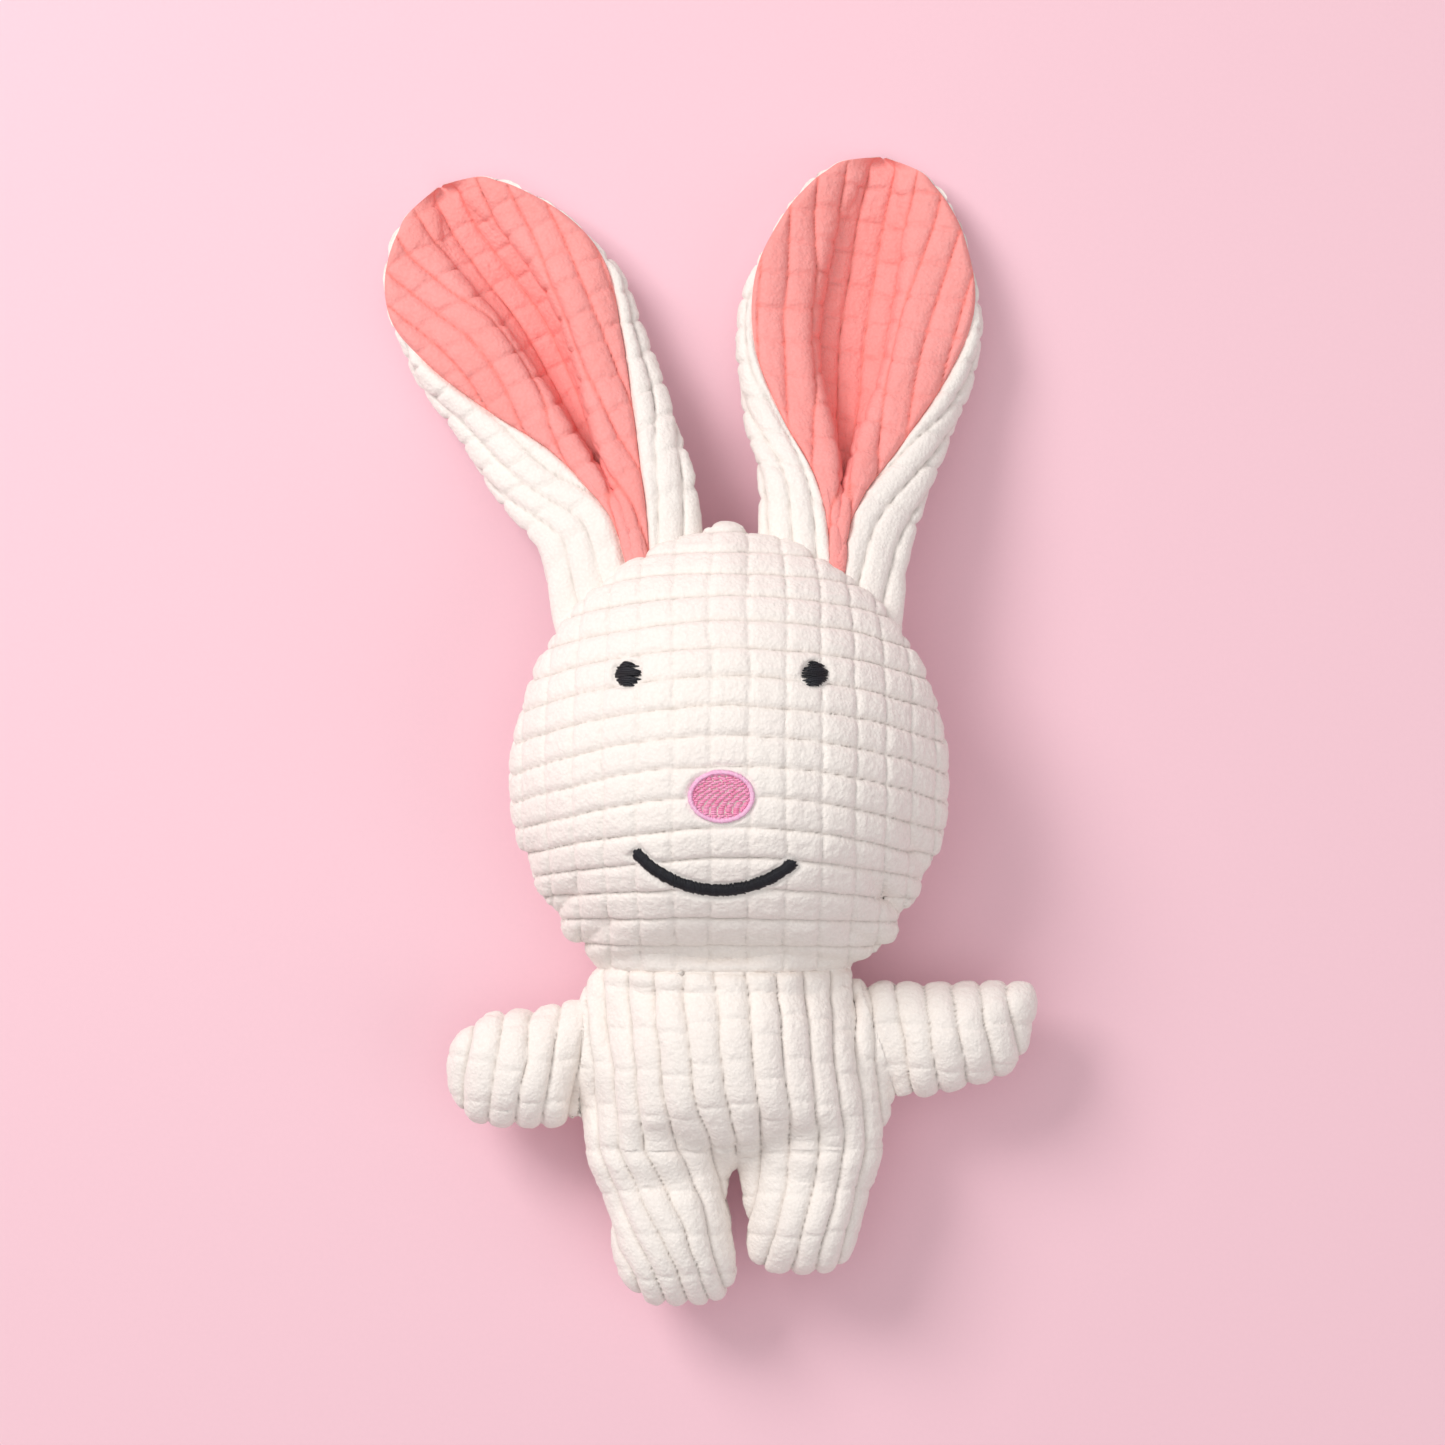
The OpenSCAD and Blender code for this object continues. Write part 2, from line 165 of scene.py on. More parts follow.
def keep_on_points(o, name, values):
    """Store three numbers on every point of a mesh, for its finish to read."""
    stored = o.data.attributes.new(name, "FLOAT_VECTOR", "POINT")
    stored.data.foreach_set("vector", np.asarray(values).ravel())


def apply(o, kind, **settings):
    """Add a modifier, give it its settings and apply it."""
    only(o)
    bpy.ops.object.modifier_add(type=kind)
    modifier = o.modifiers[-1]
    for name, value in settings.items():
        setattr(modifier, name, value)
    bpy.ops.object.modifier_apply(modifier=modifier.name)


# %% [markdown]
# ## Camera, floor and light
#
# The toy is looked at from straight above, as it lies on a table. A long lens a good way off keeps the
# head from swelling towards the viewer. The floor is plain and pale, and three large soft lamps
# stand in for a studio's soft boxes: the main one is up and to the left.

# %% Camera, floor and light
VIEW_MIDDLE = Vector((0.0003, 0.0897, 0.0))
VIEW_WIDTH = 0.3786
VIEW_LEVEL = 0.03
CAMERA_HEIGHT = 1.3
SENSOR = 36

lens_distance = CAMERA_HEIGHT - VIEW_LEVEL
bpy.ops.object.camera_add(location=(VIEW_MIDDLE.x, VIEW_MIDDLE.y, CAMERA_HEIGHT), rotation=(0, 0, 0))
camera = bpy.context.object
camera.data.sensor_width = SENSOR
camera.data.lens = SENSOR * lens_distance / VIEW_WIDTH
camera.data.clip_start = 0.05
bpy.context.scene.camera = camera

bpy.ops.mesh.primitive_plane_add(size=12, location=(0, 0, -0.0002))
floor = bpy.context.object
floor.name = "floor"


TARGET = Vector((0, 0.08, 0.03))
SOFT_BOXES = (
    ("main_soft_box", (-0.75, 0.75, 0.95), 0.6, 11.9, (1, 0.98, 0.96)),
    ("fill_soft_box", (0.9, -0.35, 0.9), 0.9, 2.4, (0.96, 0.97, 1)),
    ("top_soft_box", (-0.1, 0.1, 1.6), 1.2, 4.4, (1, 1, 1)),
)
for name, stand, size, power, colour in SOFT_BOXES:
    bpy.ops.object.light_add(type="AREA", location=stand)
    lamp = bpy.context.object
    lamp.name = name
    lamp.data.size = size
    lamp.data.energy = power
    lamp.data.color = colour
    lamp.rotation_euler = (TARGET - Vector(stand)).to_track_quat("-Z", "Y").to_euler()

ROOM_COLOUR = (1, 0.98, 0.98, 1)
ROOM_LIGHT = 0.42
world = bpy.data.worlds.new("studio")
world.use_nodes = True
world.node_tree.nodes["Background"].inputs["Color"].default_value = ROOM_COLOUR
world.node_tree.nodes["Background"].inputs["Strength"].default_value = ROOM_LIGHT
bpy.context.scene.world = world
bpy.context.scene.view_settings.view_transform = "Standard"
print("view", VIEW_WIDTH, "m wide, lens", round(camera.data.lens), "mm")

# %% [markdown]
# ## Where the seams and creases are
#
# Every crease is a fold where two stuffed parts meet, and the model's joints lie in those folds, so
# their places and axes give the creases. The seam between a front and a back panel runs round the
# middle of each part: it is level on the body, and climbs on the head to the middle of its thickness.

# %% Places of the seams and creases
NECK_Y = joints["neck_nod"]["pos_m"][1]
SEAM_Z = joints["neck_nod"]["pos_m"][2]
HIP_Y = joints["leg_left_fold"]["pos_m"][1]
head_low, head_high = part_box("face_panel")
HEAD_X = (head_low.x + head_high.x) / 2
HEAD_HALF = (head_high.x - head_low.x) / 2
NECK_TO_HEAD_MIDDLE = 49 * MM
HEAD_MID_Y = NECK_Y + NECK_TO_HEAD_MIDDLE
HEAD_MID_Z = joints["ear_left_fold"]["pos_m"][2]
CROTCH_X = (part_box("leg_left_front")[1].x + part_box("leg_right_front")[0].x) / 2


def seam_height(y):
    """Height of the seam between the front and back panels at a level of the toy."""
    t = np.clip((HEAD_MID_Y - y) / (HEAD_MID_Y - NECK_Y), 0, 1)
    return HEAD_MID_Z + (SEAM_Z - HEAD_MID_Z) * t**2


def beyond(points, joint_name, side):
    """Distance of points past a shoulder's crease, out towards side 1 or -1."""
    joint = joints[joint_name]
    axis = np.array(joint["axis"][:2])
    out = np.array([axis[1], -axis[0]])
    out = out if out[0] * side > 0 else -out
    return (points[:, :2] - np.array(joint["pos_m"][:2])) @ out


PARTS = ["torso", "head", "arm_left", "arm_right", "leg_left", "leg_right"]
TORSO, HEAD, ARM_LEFT, ARM_RIGHT, LEG_LEFT, LEG_RIGHT = range(6)


def part_of(points):
    """Number in PARTS of the stuffed part that each point belongs to."""
    x, y = points[:, 0], points[:, 1]
    part = np.full(len(points), TORSO)
    part[(beyond(points, "arm_left_fold", -1) > 0) & (x < 0)] = ARM_LEFT
    part[(beyond(points, "arm_right_fold", 1) > 0) & (x > 0)] = ARM_RIGHT
    part[(y < HIP_Y) & (x < CROTCH_X)] = LEG_LEFT
    part[(y < HIP_Y) & (x >= CROTCH_X)] = LEG_RIGHT
    part[y > NECK_Y] = HEAD
    return part


print("neck", NECK_Y, "hips", HIP_Y, "crotch", round(CROTCH_X, 4))
print("head", round(HEAD_X, 4), "half width", round(HEAD_HALF, 4))

# %% [markdown]
# ## The stuffed skin
#
# On the real toy the panels are sewn inside out, turned and stuffed, so the cloth bulges between its
# seams and the filling runs on through the neck, shoulders and hips. So one skin is made first. The
# plain solids of the model are copied and joined with a few lumps of filling that bridge the creases,
# remeshed into one even skin, and blown up with the cloth simulation. The movement is capped, so the
# toy keeps the model's size.

# %% One even skin from the model's solids
SKIN_CELL = 2.2 * MM


def copies_joined(name, nodes):
    """One mesh made of copies of these nodes, with its loose triangles merged."""
    copies = []
    for node in nodes:
        copy = frame["nodes"][node].copy()
        copy.data = copy.data.copy()
        copy.parent = None
        for key in list(copy.keys()):
            del copy[key]
        bpy.context.scene.collection.objects.link(copy)
        copies.append(copy)
    only(*copies)
    if len(copies) > 1:
        bpy.ops.object.join()
    o = bpy.context.view_layer.objects.active
    o.name = o.data.name = name
    o.data.materials.clear()
    edit(o, bpy.ops.mesh.remove_doubles, threshold=0.01 * MM)
    return o


def lump(centre, radii):
    """A rounded lump of filling, with its radii in millimetres."""
    bpy.ops.object.select_all(action="DESELECT")
    bpy.ops.mesh.primitive_uv_sphere_add(
        segments=24, ring_count=14, radius=1, location=centre, scale=[r * MM for r in radii]
    )
    bpy.ops.object.transform_apply(location=True, rotation=True, scale=True)
    return bpy.context.object


def largest_piece(o):
    """Delete all but the largest connected piece of a mesh."""
    bm = bmesh.new()
    bm.from_mesh(o.data)
    seen, best = set(), []
    for start in bm.verts:
        if start in seen:
            continue
        group, stack = [], [start]
        seen.add(start)
        while stack:
            v = stack.pop()
            group.append(v)
            for e in v.link_edges:
                w = e.other_vert(v)
                if w not in seen:
                    seen.add(w)
                    stack.append(w)
        if len(group) > len(best):
            best = group
    keep = set(best)
    bmesh.ops.delete(bm, geom=[v for v in bm.verts if v not in keep], context="VERTS")
    bm.to_mesh(o.data)
    bm.free()


stuffed = [n for part in PARTS for n in frame["nodes"] if n.startswith(part)] + ["face_panel"]
skin = copies_joined("skin", stuffed)


def middle_and_half(box):
    """Middle of a box, and half its size."""
    low, high = box
    return (low + high) / 2, (high - low) / 2


FOLD_LUMPS = {
    "arm_left": (7, 14, 11),
    "arm_right": (7, 15, 11),
    "leg_left": (19, 13, 15),
    "leg_right": (19, 13, 15),
}
LIMB_LUMPS = {
    "arm_left": (17, 12.5, 11.5),
    "arm_right": (17, 13.5, 11.5),
    "leg_left": (12.5, 19, 13),
    "leg_right": (12.5, 16, 13),
}
lumps = [lump((0, NECK_Y, SEAM_Z), (33, 8, 20)), lump((2 * MM, 1 * MM, SEAM_Z), (39, 27, 23.2))]
lumps += [lump(joints[f"{limb}_fold"]["pos_m"], radii) for limb, radii in FOLD_LUMPS.items()]
lumps += [
    lump(middle_and_half(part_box(f"{limb}_stuffing"))[0], radii) for limb, radii in LIMB_LUMPS.items()
]
only(skin, *lumps)
bpy.ops.object.join()
apply(skin, "REMESH", mode="VOXEL", voxel_size=SKIN_CELL)
largest_piece(skin)
face_outwards(skin)
print("skin", len(skin.data.vertices), "points")

# %% Blow the skin up
SKIN_PRESSURE = 14
SKIN_CAP = 4 * MM
SKIN_FRAMES = 20
TINY = 1e-12


def inflate(o, pressure, cap, frames):
    """Blow a closed mesh up as cloth, with no gravity, and let no point move further than cap."""
    before = places(o)
    only(o)
    bpy.ops.object.modifier_add(type="CLOTH")
    cloth = o.modifiers[-1]
    cloth.settings.quality = 4
    cloth.settings.use_pressure = True
    cloth.settings.uniform_pressure_force = pressure
    cloth.settings.effector_weights.gravity = 0
    cloth.point_cache.frame_start = 1
    cloth.point_cache.frame_end = frames
    for step in range(1, frames + 1):
        bpy.context.scene.frame_set(step)
    bpy.ops.object.modifier_apply(modifier=cloth.name)
    bpy.context.scene.frame_set(1)
    move = places(o) - before
    length = np.linalg.norm(move, axis=1, keepdims=True)
    place(o, before + move * np.minimum(1, cap / np.maximum(length, TINY)))
    print(o.name, "moved", np.round([length.mean() / MM, length.max() / MM], 2), "mm on average, at most")


inflate(skin, SKIN_PRESSURE, SKIN_CAP, SKIN_FRAMES)
apply(skin, "SMOOTH", factor=0.5, iterations=8)

# %% [markdown]
# ## Creases, puckers and the gap between the legs
#
# Where two stuffed parts meet, the cloth has nothing under it and sinks into a crease. The simulation
# rounds these over, so they are pressed back in: each crease is a groove that fades out on both sides.
# The seam that runs round between the front and the back pulls in a little as well.

# %% Press the creases in
def press(o, distance, depth, width, where=1.0):
    """Move points in along their normals by depth where distance is 0, fading out over width."""
    place(o, places(o) - normals(o) * (depth * bell(distance, width) * where)[:, None])


points = places(skin)
x, y, z = points.T
torso_side = (y < NECK_Y + 2 * MM) & (y > HIP_Y - 4 * MM)
CREASES = {
    "neck": (y - NECK_Y, 2.6 * MM, 3.2 * MM, np.abs(x) < 50 * MM),
    "left shoulder": (beyond(points, "arm_left_fold", -1), 3.0 * MM, 2.8 * MM, torso_side & (x < 0)),
    "right shoulder": (beyond(points, "arm_right_fold", 1), 1.6 * MM, 3.2 * MM, torso_side & (x > 0)),
    "hips": (y - HIP_Y, 0.8 * MM, 2.6 * MM),
    "side seam": (z - seam_height(y), 0.8 * MM, 2.2 * MM),
}
for crease in CREASES.values():
    press(skin, *crease)
print("creases:", list(CREASES))

# %% Part the legs
LEG_GAP_HALF = 1.0 * MM
FEET_X = CROTCH_X + 2 * MM
points = places(skin)
between_x = CROTCH_X + (FEET_X - CROTCH_X) * np.clip((HIP_Y - points[:, 1]) / (30 * MM), 0, 1)
room = LEG_GAP_HALF + 1.2 * MM * smooth((HIP_Y - points[:, 1]) / (20 * MM))
part = part_of(points)
left_side, right_side = part == LEG_LEFT, part == LEG_RIGHT
points[left_side, 0] = np.minimum(points[left_side, 0], (between_x - room)[left_side])
points[right_side, 0] = np.maximum(points[right_side, 0], (between_x + room)[right_side])
place(skin, points)
print("gap between the legs at the hips", round(2 * LEG_GAP_HALF / MM, 1), "mm")

# %% [markdown]
# The swollen limbs are drawn out to their full length, the cheeks and the neck fill out, and the seam
# over the crown makes a small bump. The points keep their height, so the creases stay as deep.

# %% Fill out the limbs, cheeks, neck and crown
ARM_STRETCH = {-1: ("arm_left_fold", 1.8 * MM), 1: ("arm_right_fold", 5.2 * MM)}
LEG_LEFT_STRETCH, LEG_RIGHT_STRETCH = 3.0 * MM, 1.8 * MM
STRETCH_OVER = 34 * MM
CHEEK_WIDER = 1.9 * MM
NECK_WIDER = 0.19
CROWN_BUMP = 2.0 * MM
TOY_MIDDLE_X = 1 * MM

x, y = points[:, 0], points[:, 1]
for side, (name, stretch) in ARM_STRETCH.items():
    out = beyond(points, name, side)
    x += side * stretch * smooth(out / STRETCH_OVER) * (x * side > 0) * (y < NECK_Y)
longer = np.where(x < CROTCH_X, LEG_LEFT_STRETCH, LEG_RIGHT_STRETCH)
y -= longer * smooth((HIP_Y - y) / STRETCH_OVER)
head_only = y > NECK_Y + 3 * MM
from_middle = (x - HEAD_X) / HEAD_HALF
x += CHEEK_WIDER * from_middle * np.abs(from_middle) * smooth((y - NECK_Y) / (14 * MM))
x += (x - TOY_MIDDLE_X) * NECK_WIDER * bell(y - NECK_Y, 9 * MM)
y += CROWN_BUMP * bell(x - TOY_MIDDLE_X, 5 * MM) * smooth((y - HEAD_MID_Y - 45 * MM) / (9 * MM))
place(skin, points)
print("arms drawn out by", [round(stretch / MM, 1) for _, stretch in ARM_STRETCH.values()], "mm")

# %% Gathers where the round head is drawn in to the narrow neck
GATHERS = (
    # x, y, turn in degrees, depth
    (-42, 41, 35, 2.3),
    (-35, 33, 48, 1.8),
    (-50, 52, 20, 1.5),
    (44, 43, -40, 3.6),
    (51, 54, -18, 2.0),
    (38, 33, -55, 1.8),
)
GATHER_WIDTH = 2.4 * MM
GATHER_LENGTH = 9 * MM
CLOTH_OUT = 1.2 * MM
for gather_x, gather_y, angle, depth_mm in GATHERS:
    turn = math.radians(angle)
    dx, dy = x - gather_x * MM, y - gather_y * MM
    along = dx * math.sin(turn) + dy * math.cos(turn)
    across = dx * math.cos(turn) - dy * math.sin(turn)
    press(skin, across, depth_mm * MM, GATHER_WIDTH, bell(along, GATHER_LENGTH) * head_only)

apply(skin, "SUBSURF", levels=2, render_levels=2)
place(skin, places(skin) + normals(skin) * CLOTH_OUT)
print("skin", len(skin.data.vertices), "points after subdivision")

# %% [markdown]
# ## The plush pattern
#
# The pile stands in rows of blocks. Across the face the rows are level and sink towards the cheeks.
# On the body they run from the neck to the feet and are rounder, with only faint breaks across. The
# blocks are real relief: for every point of the skin a place in the pattern is worked out, in blocks,
# and the point moves out by the height of the pile there.

# %% Place of each point in the pattern
BULGE = 2.6


def arc(x, half, rise, steps=8):
    """Length of cloth from the middle out to x over a dome that is 2 * half wide and rise high."""
    t = np.clip(np.abs(x) / half, 0, 1.15)
    total = 0
    for k in range(steps):
        at = np.minimum(t * (k + 0.5) / steps, 1)
        total = total + np.hypot(half, rise * BULGE * at ** (BULGE - 1))
    return np.sign(x) * total * t / steps


HEAD_ROW = 7.8 * MM
HEAD_BLOCK = 9.6 * MM
FACE_ROW_START = 78.3 * MM
HEAD_RISE = head_high.y - HEAD_MID_Y
HEAD_DROP = HEAD_MID_Y - NECK_Y
HEAD_THICK = HEAD_MID_Z
CHEEK_SAG = 10 * MM


def head_pattern(points, front):
    """Block and row of points on the head."""
    x, y = points[:, 0] - HEAD_X, points[:, 1] - HEAD_MID_Y
    up = y > 0
    level = np.clip(np.where(up, y / HEAD_RISE, y / (HEAD_DROP * 1.26)), -1, 1)
    half = HEAD_HALF * np.sqrt(1 - level**2) + 4 * MM
    sag = CHEEK_SAG * np.clip(np.abs(x) / HEAD_HALF, 0, 1) ** 2.2 * smooth((y + HEAD_DROP) / (35 * MM))
    across = arc(x, half, HEAD_THICK * half / (HEAD_HALF + 4 * MM)) / HEAD_BLOCK
    lifted = y + sag * front
    along = np.where(lifted > 0, arc(lifted, HEAD_RISE + 4 * MM, HEAD_THICK), lifted)
    start = FACE_ROW_START - HEAD_MID_Y
    return across + 0.5, (along - start) / HEAD_ROW


BODY_RIB = 8.2 * MM
BODY_BLOCK = 11 * MM
BODY_HALF = 39 * MM
BODY_THICK = 23 * MM
RIB_START = 2 * MM
LEG_LEFT_SLANT, LEG_RIGHT_SLANT = 0.36, -0.22
ARM_SLANT = 0.17
ARM_RIB = 7.3 * MM


def body_pattern(points, part):
    """Rib and block along it of points on the body, arms and legs."""
    x, y = points[:, 0], points[:, 1]
    down = np.clip((NECK_Y - y) / (NECK_Y - HIP_Y), 0, 1)
    bend = 3.2 * MM * smooth(down) + 4 * MM * smooth((down - 0.6) / 0.4) * bell(x + 8 * MM, 14 * MM)
    below = np.maximum(HIP_Y - y, 0)
    slant = np.where(part == LEG_LEFT, LEG_LEFT_SLANT, np.where(part == LEG_RIGHT, LEG_RIGHT_SLANT, 0))
    at_hip = x - bend - RIB_START - below * slant
    across = arc(at_hip, BODY_HALF, BODY_THICK) / BODY_RIB
    for number, name, side in ((ARM_LEFT, "arm_left_fold", -1), (ARM_RIGHT, "arm_right_fold", 1)):
        on = part == number
        joint_x, joint_y, _ = joints[name]["pos_m"]
        leaning = x[on] + side * ARM_SLANT * (y[on] - joint_y) - joint_x
        across[on] = side * 4.5 + leaning / ARM_RIB
    along = (y - NECK_Y) / BODY_BLOCK
    return across, along


# %% Height of the pile
def edge(share, size, round_to):
    """Height from 0 in a groove to 1 on top, share of the way through a block of this size."""
    d = (0.5 - np.abs(share - np.floor(share) - 0.5)) * size
    t = np.clip(d / round_to, 0, 1)
    return np.sqrt(np.maximum(1 - (1 - t) ** 2, 0))


def rest_flat(z):
    """The back is pressed flat by the toy's own weight, so no point goes below the table."""
    soft = 1.1 * MM
    return soft * np.logaddexp(0, z / soft)


skin_surface = BVHTree.FromPolygons(places(skin).tolist(), [tuple(f.vertices) for f in skin.data.polygons])

EYES = [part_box("eye_left"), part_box("eye_right")]
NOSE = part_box("nose_border")
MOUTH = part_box("mouth")
MOUTH_TURN = math.radians(-3.6)
MOUTH_WIDE = 3.4 * MM


mouth_half = (MOUTH[1].x - MOUTH[0].x) / 2 - MOUTH_WIDE / 2
mouth_sag = MOUTH[1].y - MOUTH[0].y - MOUTH_WIDE * 0.9
mouth_radius = (mouth_half**2 + mouth_sag**2) / (2 * mouth_sag)
mouth_centre = np.array([(MOUTH[0].x + MOUTH[1].x) / 2, MOUTH[0].y + MOUTH_WIDE / 2 + mouth_radius])
mouth_reach = math.asin(mouth_half / mouth_radius)
print("mouth radius", round(mouth_radius, 4), "reach", round(math.degrees(mouth_reach)))


def under_thread(points):
    """1 where the face is covered with thread, fading to 0 just outside it."""
    cover = 0
    for box in EYES + [NOSE]:
        middle, half = middle_and_half(box)
        away = np.hypot((points[:, 0] - middle.x) / half.x, (points[:, 1] - middle.y) / half.y)
        cover = np.maximum(cover, 1 - smooth((away - 1) * half.x / (1.3 * MM)))
    offset = points[:, :2] - mouth_centre
    angle = np.arctan2(offset[:, 0], -offset[:, 1]) - MOUTH_TURN
    away = np.abs(np.hypot(offset[:, 0], offset[:, 1]) - mouth_radius) - MOUTH_WIDE / 2
    away = np.maximum(away, (np.abs(angle) - mouth_reach) * mouth_radius)
    return np.maximum(cover, 1 - smooth(away / (1.2 * MM))) * (points[:, 2] > HEAD_MID_Z)


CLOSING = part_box("closing_stitches")


def under_closing(points):
    """1 under the row of stitches that closes the back."""
    middle, half = middle_and_half(CLOSING)
    away = [np.abs(points[:, k] - middle[k]) - half[k] for k in range(3)]
    return 1 - smooth(np.maximum(np.maximum(away[0], away[1]), away[2]) / (2 * MM))


HEAD_PILE = 1.8 * MM
BODY_PILE = 2.3 * MM
PILE_SUNK = 1.3 * MM

points = places(skin)
outward = normals(skin)
part = part_of(points)
on_head = part == HEAD
front = points[:, 2] > seam_height(points[:, 1])
wobble_u = noise(points, 17 * MM, 1) * 0.09 + noise(points, 6 * MM, 2) * 0.035
wobble_v = noise(points, 19 * MM, 3) * 0.08 + noise(points, 6 * MM, 4) * 0.03
head_u, head_v = head_pattern(points, front)
body_u, body_v = body_pattern(points, part)
u = np.where(on_head, head_u, body_u) + wobble_u * np.where(on_head, 1, 1.7)
v = np.where(on_head, head_v, body_v) + wobble_v * np.where(on_head, 1, 0.6)
rib_shift = lattice(np.stack([np.floor(u + 0.5), part, front], axis=-1), 11) * 0.45
v = np.where(on_head, v, v + rib_shift)

row_top = edge(v, HEAD_ROW, 2.6 * MM)
block_top = edge(u, HEAD_BLOCK, 2.3 * MM)
head_pile = HEAD_PILE * row_top * (0.42 + 0.58 * block_top)
rib_top = edge(u + 0.5, BODY_RIB, 3.7 * MM)
break_top = edge(v, BODY_BLOCK, 2.6 * MM)
body_pile = BODY_PILE * rib_top * (0.70 + 0.30 * break_top)
depth = np.where(on_head, row_top * (0.5 + 0.5 * block_top), rib_top * (0.65 + 0.35 * break_top))

to_side_seam = np.abs(points[:, 2] - seam_height(points[:, 1]))
seam_distance = np.minimum(to_side_seam, np.abs(points[:, 1] - NECK_Y))
seam_top = np.sqrt(1 - (1 - np.clip(seam_distance / (2.2 * MM), 0, 1)) ** 2)
pile = np.where(on_head, head_pile, body_pile) * (0.35 + 0.65 * seam_top)
cell = np.stack([np.floor(np.where(on_head, u, u + 0.5)), np.floor(v), part * 2 + front], axis=-1)
pile *= 0.9 + 0.2 * lattice(cell, 5)
covered = np.maximum(under_thread(points), under_closing(points))
pile += (PILE_SUNK - 0.35 * MM - pile) * covered
depth += (0.6 - depth) * covered
tufts = noise(points, 1.1 * MM, 6) * 0.12 * MM + noise(points, 2.6 * MM, 7) * 0.05 * MM
risen = points + outward * (pile - PILE_SUNK + tufts * (0.4 + depth) * (1 - covered))[:, None]
risen[:, 2] = rest_flat(risen[:, 2])
place(skin, risen)

keep_on_points(skin, "pattern", np.stack([u, v, depth], axis=-1))
lowest = places(skin)[:, 2].min()
print("pile", (pile.max() / MM).round(2), "mm high, lowest point", (lowest / MM).round(2), "mm")

# %% [markdown]
# ## Cutting the skin into its panels
#
# The real covers are cut panels joined at the seams, so the skin is taken apart along the same lines:
# front and back along the side seam, and the limbs and head at their creases. Every cut runs in the
# bottom of a groove and neighbours share the points of the cut, so no line opens between them.

# %% Cut the panels out
PANELS = {"head": ("face_panel", "head_back_panel"), "torso": ("torso_front", "torso_back")}
LIMBS = ("arm_left", "arm_right", "leg_left", "leg_right")
PANELS |= {limb: (f"{limb}_front", f"{limb}_back") for limb in LIMBS}


def face_centres(o):
    flat = np.empty(len(o.data.polygons) * 3)
    o.data.polygons.foreach_get("center", flat)
    return flat.reshape(-1, 3)


def cut_out(o, chosen, name):
    """Separate the chosen faces of o into a piece of its own."""
    only(o)
    bpy.ops.object.mode_set(mode="EDIT")
    bpy.ops.mesh.select_all(action="DESELECT")
    bpy.ops.object.mode_set(mode="OBJECT")
    o.data.polygons.foreach_set("select", chosen)
    bpy.ops.object.mode_set(mode="EDIT")
    bpy.ops.mesh.separate(type="SELECTED")
    bpy.ops.object.mode_set(mode="OBJECT")
    piece = next(x for x in bpy.context.selected_objects if x is not o)
    piece.name = piece.data.name = name
    return piece


covers = {}
todo = [(part_name, layer) for part_name in PANELS for layer in (0, 1)]
for part_name, layer in todo:
    name = PANELS[part_name][layer]
    if (part_name, layer) == todo[-1]:
        skin.name = skin.data.name = f"{name}_plush"
        covers[name] = skin
        break
    centres = face_centres(skin)
    at_back = centres[:, 2] <= seam_height(centres[:, 1])
    chosen = (part_of(centres) == PARTS.index(part_name)) & (at_back == bool(layer))
    covers[name] = cut_out(skin, chosen, f"{name}_plush")
print({name: len(piece.data.polygons) for name, piece in covers.items()})

# %% The torso panels go with the torso; the other panels are baked in place
HEAD_BEND = 16 * MM
LIMB_BEND = 13 * MM


def bend_at_joint(o, joint_name, length):
    """Bake a piece's place into its mesh; the way out from the joint's crease is worked out, but nothing
    bends.
    """
    joint = joints[joint_name]
    start = Vector(joint["pos_m"])
    axis = Vector(joint["axis"])
    away = axis.cross(Vector((0, 0, 1))).normalized()
    low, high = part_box(PANELS[joint["child"]][0])
    if away.dot((low + high) / 2 - start) < 0:
        away = -away
    start + away * length
    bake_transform(o)


PART_JOINT = {"head": ("neck_nod", HEAD_BEND)}
PART_JOINT |= {limb: (f"{limb}_fold", LIMB_BEND) for limb in LIMBS}
for part_name, names in PANELS.items():
    for name in names:
        piece = covers[name]
        if part_name == "torso":
            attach(piece, "torso")
        else:
            bend_at_joint(piece, *PART_JOINT[part_name])
        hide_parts(name)
        shade_smooth(piece)
print("panels that bend:", len(covers) - len(PANELS["torso"]))

# %% [markdown]
# ## The ears
#
# An ear is two layers of cloth sewn together round the edge and turned, a coral one inside and a white
# one behind, with no filling. Its base is folded shut where it is sewn into the head, so the white back
# comes round to the front as two flaps, the edge of each flap rolls outwards and shows a strip of
# coral, and between the strips lies a deep trough that opens out and flattens towards the tip. Each
# layer is made as a sheet: at every level along the ear a smooth curve is laid across it through the
# flaps' edges, the ridges and the bottom of the trough.

# %% Curves across and along an ear
def through(at, knots, values):
    """Smooth curve through values at knots, read at these places."""
    knots, values = np.array(knots, float), np.array(values, float)
    slopes = np.gradient(values, knots)
    i = np.clip(np.searchsorted(knots, at) - 1, 0, len(knots) - 2)
    gap = knots[i + 1] - knots[i]
    t = (at - knots[i]) / gap
    leaving = (2 * t**3 - 3 * t**2 + 1) * values[i] + (t**3 - 2 * t**2 + t) * gap * slopes[i]
    arriving = (3 * t**2 - 2 * t**3) * values[i + 1] + (t**3 - t**2) * gap * slopes[i + 1]
    return leaving + arriving


